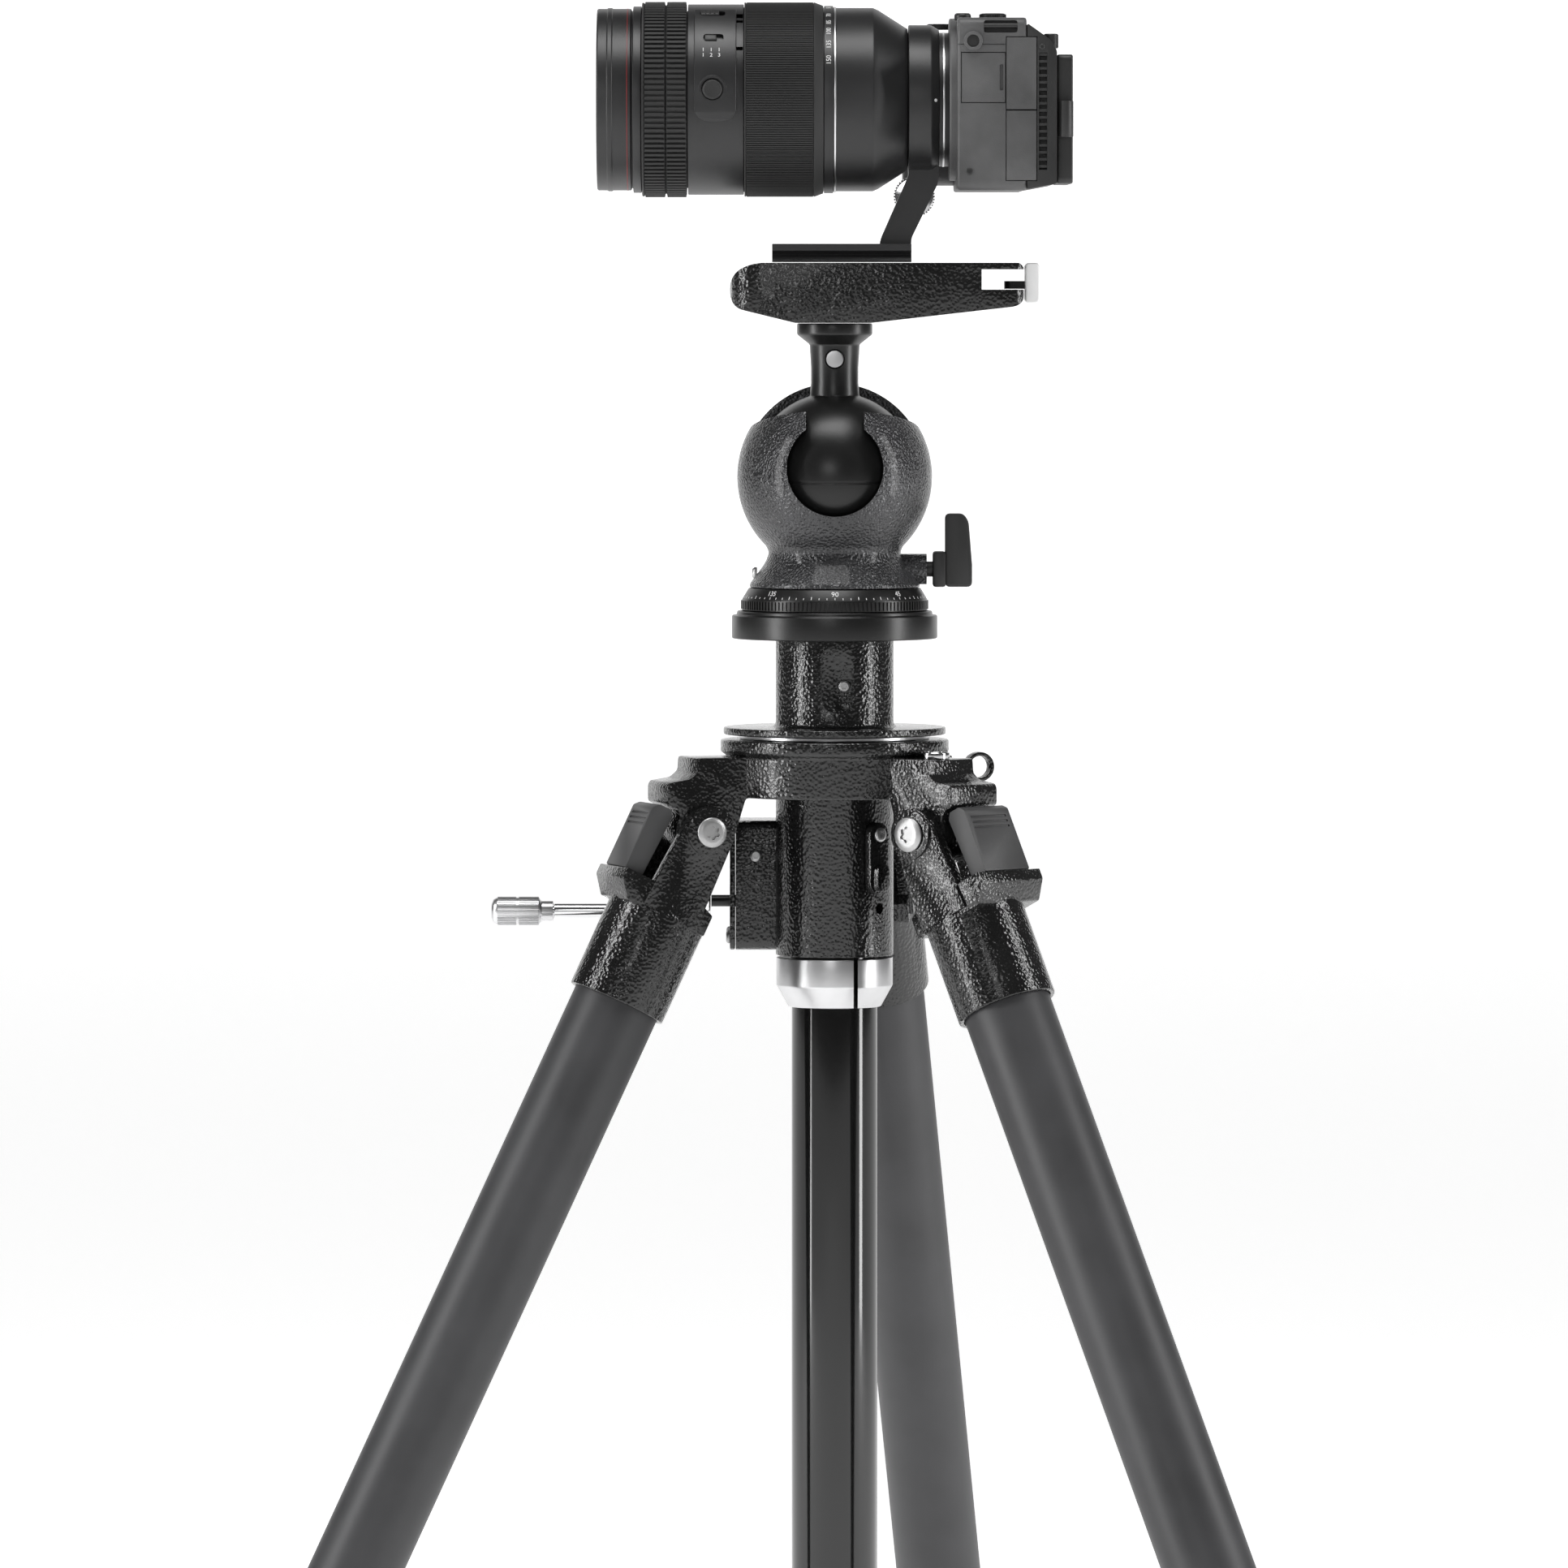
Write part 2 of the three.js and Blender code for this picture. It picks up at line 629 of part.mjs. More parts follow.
// The crank: a hub on the shaft's end, a short arm, and a rod out to the handle.
const crankTip = {
  y: pinionY + CRANK.radius * Math.cos(radians(CRANK.droop)),
  z: GEAR.height - CRANK.radius * Math.sin(radians(CRANK.droop)),
};
function crankArm() {
  const hubBack = CRANK.hub - GAP;
  const hubFront = hubBack - CRANK.armThick;
  const arm = block(hubFront, hubBack, -4.5, CRANK.radius + 0.5, -3.8, 3.8);
  const hub = rodAlongX(7, hubFront - 1, hubBack, 0, 0);
  const lever = join(arm, hub).rotateX(-radians(CRANK.droop)).translate(0, pinionY, GEAR.height);
  const rod = rodAlongX(CRANK.rodRadius, CRANK.knobStart + GAP, hubBack - 1, crankTip.y, crankTip.z);
  const elbow = new THREE.SphereGeometry(CRANK.rodRadius + 1.2, 10, 6).translate(
    (hubFront + hubBack) / 2,
    crankTip.y,
    crankTip.z,
  );
  const pin = rodAlongX(CRANK.pinRadius, CRANK.pinEnd, CRANK.knobStart + 2, crankTip.y, crankTip.z, 12);
  return join(lever, rod, elbow, pin);
}
piece("crank_arm", crankArm(), "chrome");

function crankKnob() {
  const outer = CRANK.knobRadius;
  const bore = CRANK.pinRadius + GAP;
  const shape = turnedAlongX(
    [
      [CRANK.knobEnd, 0],
      [CRANK.knobEnd, outer - 3],
      [CRANK.knobEnd + 1, outer - 1],
      [CRANK.knobEnd + 2.6, outer],
      [CRANK.knobStart - 6.5, outer],
      [CRANK.knobStart - 5.5, outer - 2],
      [CRANK.knobStart, outer - 2],
      [CRANK.knobStart, bore],
      [CRANK.pinEnd - 1, bore],
      [CRANK.pinEnd - 1, 0],
    ],
    crankTip.z,
    16,
  );
  return shape.translate(0, crankTip.y, 0);
}
piece("crank_knob", crankKnob(), "aluminium");

// The sleeve that guides the column, cast in one with the gear housing on its back.
function columnSleeve() {
  const flangeBottom = CROWN.top + GAP;
  const body = turned([
    [0, SLEEVE.bottom],
    [SLEEVE.radius, SLEEVE.bottom],
    [SLEEVE.radius, SLEEVE.plugBottom],
    [CROWN.bore - GAP, SLEEVE.plugBottom],
    [CROWN.bore - GAP, flangeBottom],
    [SLEEVE.flangeRadius, flangeBottom],
    [SLEEVE.flangeRadius, SLEEVE.flangeTop],
    [0, SLEEVE.flangeTop],
  ]);
  const outline = rounded(GEARBOX.front, GEARBOX.back, GEARBOX.bottom, GEARBOX.top, GEARBOX.round);
  const boxed = housingAlongX(outline, GEARBOX.left, GEARBOX.right);
  const bore = disc(COLUMN.radius + GAP, SLEEVE.bottom - 1, SLEEVE.flangeTop + 1, ROUND);
  const room = rodAlongX(pitchRadius + 2, GEARBOX.left - 1, GEAR.width / 2 + 1.5, pinionY, GEAR.height, 24);
  const journal = rodAlongX(GEAR.shaftRadius + GAP, 0, GEARBOX.right + 1, pinionY, GEAR.height, 16);
  return cut(join(body, boxed), bore, room, journal);
}

// An outline drawn in Y and Z, reaching from x0 to x1.
function housingAlongX(outline, x0, x1) {
  return new THREE.ExtrudeGeometry(outline, { depth: x1 - x0, bevelEnabled: false, curveSegments: 4 })
    .rotateX(Math.PI / 2)
    .rotateZ(Math.PI / 2)
    .translate(x0, 0, 0);
}
piece("column_sleeve", columnSleeve(), "hammeredBlack");

function gearboxCover() {
  const outline = rounded(GEARBOX.front, GEARBOX.back, GEARBOX.bottom, GEARBOX.top, GEARBOX.round);
  const plate = housingAlongX(outline, GEARBOX.left - GAP - 2.4, GEARBOX.left - GAP);
  const bore = GEAR.shaftRadius + GAP;
  const hole = rodAlongX(bore, GEARBOX.left - 5, GEARBOX.left + 1, pinionY, GEAR.height, 16);
  return cut(plate, hole);
}
piece("gearbox_cover", gearboxCover(), "hammeredBlack");

// The lever that presses a brake pad on the column, on a stud in the sleeve's side.
function brakeLever() {
  const outline = new THREE.Shape();
  outline.absarc(0, 0, BRAKE.half, 0, Math.PI, false);
  outline.absarc(0, -BRAKE.length, BRAKE.half, Math.PI, 2 * Math.PI, false);
  outline.closePath();
  const face = SLEEVE.radius + GAP;
  const lever = housingAlongX(outline, face, face + BRAKE.thick);
  const end = rounded(-3.6, 3.6, -BRAKE.length - 3.6, -BRAKE.length + 8, 3.4);
  const grip = housingAlongX(end, face + 1, face + 7);
  return join(lever, grip).translate(0, 0, BRAKE.height).rotateZ(radians(BRAKE.azimuth));
}
piece("column_lock_lever", brakeLever(), "hammeredBlack");

function colletCollar() {
  const bore = COLUMN.radius + GAP;
  const collar = turned([
    [bore, COLLAR.bottom],
    [COLLAR.lowRadius, COLLAR.bottom],
    [COLLAR.radius, COLLAR.coneTop],
    [COLLAR.radius, COLLAR.top],
    [bore, COLLAR.top],
  ]);
  const { slitLeft, bottom, top } = COLLAR;
  const slit = block(slitLeft, slitLeft + COLLAR.slit, -COLLAR.radius - 1, 0, bottom - 1, top + 1);
  return cut(collar, slit);
}
piece("collet_collar", colletCollar(), "aluminium");

// ---------------------------------------------------------------- column head
function columnNeck() {
  const neck = turned([
    [0, SLEEVE.flangeTop + GAP],
    [NECK.discRadius, SLEEVE.flangeTop + GAP],
    [NECK.discRadius, NECK.discTop - 1],
    [NECK.discRadius - 1, NECK.discTop],
    [NECK.radius, NECK.discTop],
    [NECK.radius, NECK.top],
    [0, NECK.top],
  ]);
  const seat = disc(COLUMN.radius + GAP, 0, COLUMN.top + GAP, ROUND);
  const window = rounded(-6, 8, NECK.discTop + 7, NECK.discTop + 31, 6.5);
  const recess = slab(window, -NECK.radius - 5, -NECK.radius + 2.4);
  return cut(neck, seat, recess);
}
piece("column_neck", columnNeck(), "hammeredBlack");

const headFlange = turned([
  [0, NECK.top + GAP],
  [FLANGE.radius - 0.8, NECK.top + GAP],
  [FLANGE.radius, NECK.top + GAP + 0.8],
  [FLANGE.radius, FLANGE.top - 0.8],
  [FLANGE.radius - 0.8, FLANGE.top],
  [FLANGE.stepRadius, FLANGE.top],
  [FLANGE.stepRadius, FLANGE.stepTop],
  [0, FLANGE.stepTop],
]);
piece("head_flange", headFlange, "satinBlack");

const panScale = turned([
  [0, FLANGE.stepTop + GAP],
  [PAN.radius, FLANGE.stepTop + GAP],
  [PAN.radius, PAN.knurlTop],
  [PAN.topRadius, PAN.top],
  [0, PAN.top],
]);
piece("pan_scale_ring", panScale, "satinBlack");

// ---------------------------------------------------------------- ball head
// A shell round the ball, open in front of a full rear half, with a notch for the stem.
function ballHousing() {
  const bottom = PAN.top + GAP;
  const profile = [
    [0, bottom],
    [HOUSING.baseRadius, bottom],
    [HOUSING.waistRadius + 3, HOUSING.waist - 7],
    [HOUSING.waistRadius, HOUSING.waist],
  ];
  const startAngle = Math.acos((HOUSING.waistRadius + 1.2) / HOUSING.radius);
  const steps = 8;
  for (let step = 0; step < steps; step++) {
    const angle = -startAngle + ((Math.PI / 2 + startAngle) * step) / steps;
    profile.push([HOUSING.radius * Math.cos(angle), BALL.centre + HOUSING.radius * Math.sin(angle)]);
  }
  profile.push([0, BALL.centre + HOUSING.radius]);
  const shell = turned(profile, 24);
  const boss = rodAlongX(HOUSING.bossRadius, 24, HOUSING.bossEnd, 0, HOUSING.bossHeight);
  const cavity = new THREE.SphereGeometry(BALL.radius + BALL.clearance, 20, 12)
    .rotateX(Math.PI / 2)
    .translate(0, 0, BALL.centre);
  const slope = Math.atan(HOUSING.rimSlope);
  const opening = block(-60, 60, -80, 80, 0, 60)
    .rotateX(-slope)
    .translate(0, 0, BALL.centre + HOUSING.rimHeight);
  const front = block(-60, 60, -80, HOUSING.backWall, BALL.centre - 40, BALL.centre + 80);
  const notch = rodAlongY(HOUSING.notchRadius, -60, 0, 0, BALL.centre + HOUSING.notchCentre, 32);
  const { notchHalf, notchCentre } = HOUSING;
  const way = block(-notchHalf, notchHalf, -60, 0, BALL.centre + notchCentre, BALL.centre + 50);
  const knobHole = rodAlongY(KNOB.stud + GAP, BALL.radius - 8, 60, 0, BALL.centre, 20);
  const screwHole = rodAlongX(3.5 + GAP, 30, 60, 0, HOUSING.bossHeight, 20);
  return cut(join(shell, boss), cavity, common(opening, front), notch, way, knobHole, screwHole);
}
piece("ball_housing", ballHousing(), "hammeredGrey");

// The wing knob that locks the panning turn, on a screw in the housing's side boss.
function panLockKnob() {
  const start = HOUSING.bossEnd + GAP;
  const axis = HOUSING.bossHeight;
  const screw = rodAlongX(3.5, HOUSING.bossEnd - 8, start + 3, 0, axis);
  const hub = block(start + 2.4, start + 8.4, -6.5, 6.5, axis - 8.1, axis + 8.1);
  const wing = new THREE.Shape();
  wing.moveTo(start + 8, axis - 8.1);
  wing.lineTo(start + 20.4, axis - 8.1);
  wing.lineTo(start + 20.4, axis + 2);
  wing.lineTo(start + 18.6, axis + 22);
  wing.lineTo(start + 16.6, axis + 25.6);
  wing.lineTo(start + 8, axis + 25.6);
  wing.closePath();
  return join(screw, hub, slab(wing, -5, 5));
}
piece("pan_lock_knob", panLockKnob(), "blackPlastic");

// The large round knob behind the housing that clamps the ball.
function ballLockKnob() {
  const body = new THREE.Shape();
  const points = KNOB.lobes * 3;
  for (let i = 0; i < points; i++) {
    const angle = (2 * Math.PI * i) / points;
    const radius = KNOB.radius - 1.2 * (1 - Math.cos(angle * KNOB.lobes)) * 0.5;
    const corner = [radius * Math.cos(angle), BALL.centre + radius * Math.sin(angle)];
    if (i === 0) body.moveTo(...corner);
    else body.lineTo(...corner);
  }
  body.closePath();
  const grip = slab(body, KNOB.front, KNOB.back);
  const screw = rodAlongY(KNOB.stud, BALL.radius + 1.6, KNOB.front + 1, 0, BALL.centre, 20);
  return join(grip, screw);
}
piece("ball_lock_knob", ballLockKnob(), "rubber");

// The ball with its stem, the windows through which its core shows, and its top flange.
function ballStem() {
  const profile = [];
  const steps = 9;
  const neckAngle = Math.acos(BALL.stemRadius / BALL.radius);
  for (let step = 0; step <= steps; step++) {
    const angle = -Math.PI / 2 + ((neckAngle + Math.PI / 2) * step) / steps;
    const radius = step === 0 ? 0 : BALL.radius * Math.cos(angle);
    profile.push([radius, BALL.centre + BALL.radius * Math.sin(angle)]);
  }
  profile.push([BALL.stemRadius, BALL.stemTop]);
  profile.push([BALL.flangeRadius, BALL.stemTop + 4.6]);
  profile.push([BALL.flangeRadius, BALL.flangeTop]);
  profile.push([0, BALL.flangeTop]);
  const stem = turned(profile);
  const pockets = [-1, 1].map((side) =>
    rodAlongY(4.6, ...inOrder(side * 6.5, side * 30), -1.2, BALL.stemTop - 6.6, 14),
  );
  return cut(stem, ...pockets);
}
piece("ball_stem", ballStem(), "satinBlack");

// The platform: a long casting that clamps the lens foot, with a lever in its right end.
function platform() {
  const top = PLATFORM.top;
  const bottom = PLATFORM.bottom + GAP;
  const outline = new THREE.Shape();
  outline.moveTo(PLATFORM.right - 3, top);
  outline.lineTo(PLATFORM.left + 14.5, top);
  outline.quadraticCurveTo(PLATFORM.left, top - 1.5, PLATFORM.left, top - 12);
  outline.quadraticCurveTo(PLATFORM.left, top - 20, PLATFORM.left + 6, top - 21.5);
  outline.lineTo(-18.1, bottom);
  outline.lineTo(16.3, bottom);
  outline.lineTo(PLATFORM.right - 5, top - 20);
  outline.quadraticCurveTo(PLATFORM.right, top - 19, PLATFORM.right, top - 15);
  outline.lineTo(PLATFORM.right, top - 3);
  outline.closePath();
  const side = slab(outline, -PLATFORM.half, PLATFORM.half, 6);
  const plan = new THREE.Shape();
  plan.moveTo(PLATFORM.left + 16, -PLATFORM.half);
  plan.lineTo(30, -PLATFORM.half);
  plan.lineTo(PLATFORM.right - 4, -14);
  plan.quadraticCurveTo(PLATFORM.right, -13, PLATFORM.right, -9);
  plan.lineTo(PLATFORM.right, 9);
  plan.quadraticCurveTo(PLATFORM.right, 13, PLATFORM.right - 4, 14);
  plan.lineTo(30, PLATFORM.half);
  plan.lineTo(PLATFORM.left + 16, PLATFORM.half);
  plan.quadraticCurveTo(PLATFORM.left, PLATFORM.half, PLATFORM.left, 8);
  plan.lineTo(PLATFORM.left, -8);
  plan.quadraticCurveTo(PLATFORM.left, -PLATFORM.half, PLATFORM.left + 16, -PLATFORM.half);
  const body = common(side, sheet(plan, bottom - 1, top + 1, 6));
  const slot = block(PLATFORM.slotLeft, PLATFORM.right + 5, -40, 40, PLATFORM.slotBottom, PLATFORM.slotTop);
  return cut(body, slot);
}
piece("platform", platform(), "hammeredBlack");

// The clamping lever turns on an upright pin at the far corner of the platform's end.
function platformLever() {
  const low = PLATFORM.slotBottom + GAP;
  const high = low + LEVER.thick;
  const hub = disc(LEVER.hub, low, high).translate(LEVER.pivotX, LEVER.pivotY, 0);
  const link = block(LEVER.pivotX, LEVER.left + 1, LEVER.pivotY - LEVER.hub, LEVER.pivotY, low, high);
  const side = rounded(LEVER.left, LEVER.right, LEVER.bottom, PLATFORM.top, 1.8);
  const tab = slab(side, -LEVER.half, LEVER.half, 4);
  return join(hub, link, tab);
}
piece("platform_lever", platformLever(), "whiteLever");

// ---------------------------------------------------------------- lens foot
function lensFoot() {
  const plateTop = PLATE.top;
  const section = polygon([
    [-PLATE.lipHalf, PLATE.bottom + 3.4],
    [-PLATE.half, PLATE.bottom + 0.9],
    [-PLATE.half, PLATE.bottom],
    [PLATE.half, PLATE.bottom],
    [PLATE.half, PLATE.bottom + 0.9],
    [PLATE.lipHalf, PLATE.bottom + 3.4],
    [PLATE.half, PLATE.bottom + 5.2],
    [PLATE.half, plateTop],
    [-PLATE.half, plateTop],
    [-PLATE.half, PLATE.bottom + 5.2],
  ]);
  const plate = housingAlongX(section, PLATE.left, PLATE.right);
  const strut = slab(
    polygon([
      [PLATE.right - 13.8, plateTop - 1],
      [PLATE.right, plateTop - 1],
      [PLATE.right, plateTop + 2.5],
      [COLLAR_RING.end - 0.4, LENS.axis - 38],
      [COLLAR_RING.end - 0.4, LENS.axis - 26],
      [COLLAR_RING.front + 0.3, LENS.axis - 26],
      [COLLAR_RING.front + 0.3, LENS.axis - 34.2],
      [PLATE.right - 13.8, plateTop + 2.5],
    ]),
    -FOOT_KNOB.face,
    FOOT_KNOB.face,
  );
  const collar = turnedAlongX(
    [
      [COLLAR_RING.front, 0],
      [COLLAR_RING.front, COLLAR_RING.radius],
      [COLLAR_RING.back, COLLAR_RING.radius],
      [COLLAR_RING.end, COLLAR_RING.radius - 2.2],
      [COLLAR_RING.end, 0],
    ],
    LENS.axis,
  );
  const bore = rodAlongX(LENS.neckRadius + GAP, 20, 60, 0, LENS.axis, LENS_SIDES);
  const thread = disc(2.9, PLATE.bottom - 1, plateTop + 1, 16).translate(2.8, 0, 0);
  const knobHole = rodAlongY(FOOT_KNOB.stud + GAP, 4, 20, FOOT_KNOB.x, FOOT_KNOB.height, 16);
  return cut(join(plate, strut, collar), bore, thread, knobHole);
}
piece("lens_foot", lensFoot(), "lensBlack");

// The clamp knob of the foot's collar, on the far side of the strut.
function footKnob() {
  const { x, height, face } = FOOT_KNOB;
  const grip = rodAlongY(FOOT_KNOB.radius, face + GAP, face + 13, x, height, 18);
  const stud = rodAlongY(FOOT_KNOB.stud, face - 6, face + 1, x, height, 16);
  return join(grip, stud);
}
piece("foot_knob", footKnob(), "chrome");

// ---------------------------------------------------------------- lens
// The tube that slides out, with the filter ring and the front ring.
function frontBarrel() {
  const inner = LENS.tubeRadius - LENS.tubeWall;
  return turnedAlongX(
    [
      [LENS.front, inner],
      [LENS.front, LENS.frontRadius],
      [LENS.ringFront, LENS.frontRadius + 0.3],
      [LENS.ringFront, LENS.ringRadius],
      [LENS.focusFront - GAP, LENS.ringRadius],
      [LENS.focusFront - GAP, LENS.tubeRadius],
      [LENS.focusFront + LENS.travel + 15, LENS.tubeRadius],
      [LENS.focusFront + LENS.travel + 15, inner],
    ],
    LENS.axis,
    LENS_SIDES,
  );
}
piece("lens_front_barrel", frontBarrel(), "lensBlack");

const glassRadius = LENS.tubeRadius - LENS.tubeWall - GAP;
const glassProfile = [
  [LENS.front + 14, 0],
  [LENS.front + 14, glassRadius],
  [LENS.front + 7.5, glassRadius],
];
for (let step = 1; step < 3; step++) {
  const across = 1 - step / 3;
  glassProfile.push([LENS.front + 7.5 - 4 * (1 - across * across), glassRadius * across]);
}
glassProfile.push([LENS.front + 3.5, 0]);
piece("front_glass", turnedAlongX(glassProfile, LENS.axis), "glass");

const focusCore = LENS.tubeRadius + GAP + LENS.skin;
piece(
  "focus_ring",
  pipe(LENS.focusRadius, focusCore + GAP, LENS.focusFront, LENS.focusBack, LENS.axis, LENS_SIDES),
  "rubber",
);

// The fixed barrel: a thin core under both rings, full size between them, with a control panel.

function midBarrel() {
  const bore = LENS.tubeRadius + GAP;
  const zoomCore = LENS.zoomRadius - LENS.skin - GAP;
  const barrel = turnedAlongX(
    [
      [LENS.focusFront, bore],
      [LENS.focusFront, focusCore],
      [LENS.focusBack + GAP, focusCore],
      [LENS.focusBack + GAP, LENS.barrelRadius],
      [LENS.zoomFront - GAP, LENS.barrelRadius],
      [LENS.zoomFront - GAP, zoomCore],
      [LENS.zoomEnd, zoomCore],
      [LENS.zoomEnd, bore],
    ],
    LENS.axis,
    LENS_SIDES,
  );
  const panelRadius = LENS.barrelRadius + PANEL.rise;
  const skin = pipe(panelRadius, bore + 1, PANEL.front, PANEL.back, LENS.axis, LENS_SIDES);
  const wedge = new THREE.Shape();
  wedge.moveTo(0, 0);
  wedge.lineTo(-70, 70 * Math.tan(radians(PANEL.low)));
  wedge.lineTo(-70, 70 * Math.tan(radians(PANEL.high)));
  wedge.closePath();
  const sector = housingAlongX(wedge, PANEL.front - 1, PANEL.back + 1).translate(0, 0, LENS.axis);
  const panel = common(skin, sector);
  const well = rodAlongY(BUTTON.radius + GAP, -60, -BUTTON.well, BUTTON.x, LENS.axis + BUTTON.drop, 20);
  const slotDepth = block(
    SWITCH.x - SWITCH.half - GAP,
    SWITCH.x + SWITCH.half + SWITCH.travel + GAP,
    -60,
    -panelRadius + 2.6,
    -SWITCH.wide - GAP,
    SWITCH.wide + GAP,
  )
    .rotateX(-radians(SWITCH.angle))
    .translate(0, 0, LENS.axis);
  return cut(join(barrel, panel), well, slotDepth);
}
piece("lens_mid_barrel", midBarrel(), "lensBlack");

piece(
  "focus_hold_button",
  rodAlongY(
    BUTTON.radius,
    -LENS.barrelRadius - PANEL.rise - 1.1,
    -BUTTON.well - BUTTON.travel - GAP,
    BUTTON.x,
    LENS.axis + BUTTON.drop,
    20,
  ),
  "rubber",
);

const modeSwitch = block(
  SWITCH.x - SWITCH.half,
  SWITCH.x + SWITCH.half,
  -LENS.barrelRadius - PANEL.rise - 0.6,
  -LENS.barrelRadius - PANEL.rise + 2.3,
  -SWITCH.wide,
  SWITCH.wide,
)
  .rotateX(-radians(SWITCH.angle))
  .translate(0, 0, LENS.axis);
piece("focus_mode_switch", modeSwitch, "blackPlastic");

const zoomRing = turnedAlongX(
  [
    [LENS.zoomFront, LENS.zoomRadius - LENS.skin],
    [LENS.zoomFront, LENS.zoomRadius],
    [LENS.zoomBack, LENS.zoomRadius],
    [LENS.zoomEnd - GAP, LENS.rearRadius + 0.9],
    [LENS.zoomEnd - GAP, LENS.zoomRadius - LENS.skin],
  ],
  LENS.axis,
  LENS_SIDES,
);
piece("zoom_ring", zoomRing, "rubber");

// The rear barrel with its cone, the neck that turns in the collar, and the bayonet ring.
const rearBarrel = turnedAlongX(
  [
    [LENS.zoomEnd + GAP, LENS.rearRadius - LENS.skin],
    [LENS.zoomEnd + GAP, LENS.rearRadius],
    [LENS.coneFront, LENS.rearRadius],
    [LENS.coneBack, LENS.coneRadius],
    [LENS.coneBack, LENS.neckRadius],
    [LENS.mount, LENS.neckRadius],
    [LENS.mount, LENS.neckRadius - LENS.skin],
    [LENS.coneBack - 1, LENS.neckRadius - LENS.skin],
    [LENS.coneFront - 1, LENS.rearRadius - LENS.skin],
  ],
  LENS.axis,
  LENS_SIDES,
);
piece("lens_rear_barrel", rearBarrel, "lensBlack");

// ---------------------------------------------------------------- camera body
// The port doors lie flush in the near side: each one is [front, back, bottom, top].
const doorThick = 2.4;
const DOORS = {
  port_door_front: { x: [57, 76.6], z: [LENS.axis - 2, LENS.axis + 20.4], hinge: "front" },
  port_door_upper: { x: [77.2, 90.8], z: [LENS.axis - 5.1, LENS.axis + 27.4], hinge: "back" },
  port_door_lower: { x: [77.2, 90.8], z: [LENS.axis - 37.1, LENS.axis - 5.7], hinge: "back" },
};

function doorRecess(door) {
  return block(
    door.x[0] - GAP,
    door.x[1] + GAP,
    CAMERA.near - 1,
    CAMERA.near + doorThick + GAP,
    door.z[0] - GAP,
    door.z[1] + GAP,
  );
}

const joint = CAMERA.shellBack; // plane between the front shell and the rear frame

function frontShell() {
  const outline = rounded(CAMERA.near, CAMERA.far, CAMERA.bottom, CAMERA.top, CAMERA.corner);
  const body = housingAlongX(outline, CAMERA.shellFront, joint);
  const bore = LENS.neckRadius + GAP;
  const lip = pipe(bore + 6.2, bore, CAMERA.front, CAMERA.shellFront + 1, LENS.axis, LENS_SIDES);
  const grip = housingAlongX(
    rounded(CAMERA.gripNear, CAMERA.far, CAMERA.bottom + 3, CAMERA.top, 8),
    CAMERA.gripFront,
    CAMERA.shellFront + 1,
  );
  const slope = block(-30, 60, 0, 100, 0, 60)
    .rotateY(radians(26))
    .translate(CAMERA.gripFront, 0, CAMERA.top - 11);
  const slopeFoot = CAMERA.top - 11;
  const cutLine = block(CAMERA.gripFront - 5, CAMERA.shellFront + 2, 20, 100, slopeFoot, CAMERA.top + 40);
  const hollow = block(
    CAMERA.shellFront + CAMERA.wall,
    joint + 1,
    CAMERA.near + doorThick + 2 * GAP + CAMERA.wall,
    CAMERA.far - CAMERA.wall,
    CAMERA.bottom + CAMERA.wall,
    CAMERA.top - CAMERA.wall,
  );
  const throat = rodAlongX(LENS.neckRadius + GAP, 40, CAMERA.shellFront + 5, 0, LENS.axis, LENS_SIDES);
  const recesses = Object.values(DOORS).map(doorRecess);
  const wedge = common(slope, cutLine);
  const well = CAMERA.top - RECORD_BUTTON.well;
  const button = disc(RECORD_BUTTON.radius + 2 * GAP, well, CAMERA.top + 5);
  button.translate(RECORD_BUTTON.x, RECORD_BUTTON.y, 0);
  return cut(join(body, lip, cut(grip, wedge)), hollow, throat, button, ...recesses);
}
piece("camera_front_shell", frontShell(), "bodyGrey");

function rearFrame() {
  const outline = polygon([
    [joint + GAP, CAMERA.bottom + 0.5],
    [CAMERA.back, CAMERA.bottom + 3],
    [CAMERA.back, CAMERA.top - 15],
    [CAMERA.back - 3, CAMERA.top - 10],
    [CAMERA.back - 10, CAMERA.top - 5],
    [joint + GAP, CAMERA.top - 2.6],
  ]);
  const frame = slab(outline, CAMERA.near, CAMERA.far - 1);
  const hollow = block(
    joint - 1,
    CAMERA.back - CAMERA.wall,
    CAMERA.near + doorThick + 2 * GAP + CAMERA.wall,
    CAMERA.far - 1 - CAMERA.wall,
    CAMERA.bottom + 3 + CAMERA.wall,
    CAMERA.top - 15 - CAMERA.wall,
  );
  const recesses = Object.values(DOORS).map(doorRecess);
  return cut(frame, hollow, ...recesses);
}
piece("camera_rear_frame", rearFrame(), "blackPlastic");

for (const [name, door] of Object.entries(DOORS)) {
  const panel = block(...door.x, CAMERA.near, CAMERA.near + doorThick, ...door.z);
  piece(name, panel, "bodyGrey");
}

// The screen folds flat on the back; its hinge stands at the near edge.
const screenFace = CAMERA.back + GAP;
const hingeX = screenFace + SCREEN.knuckle;
const screenHinge = join(
  disc(SCREEN.knuckle, SCREEN.hingeLow, SCREEN.hingeHigh).translate(hingeX, SCREEN.axisY, 0),
  block(hingeX, SCREEN.back, SCREEN.axisY, SCREEN.near - GAP, SCREEN.hingeLow, SCREEN.hingeHigh),
);
piece("screen_hinge", screenHinge, "blackPlastic");
const screenPanel = housingAlongX(
  rounded(SCREEN.near, SCREEN.far, SCREEN.bottom, SCREEN.top, 3),
  screenFace,
  SCREEN.back,
);
piece("screen_panel", screenPanel, "blackPlastic");

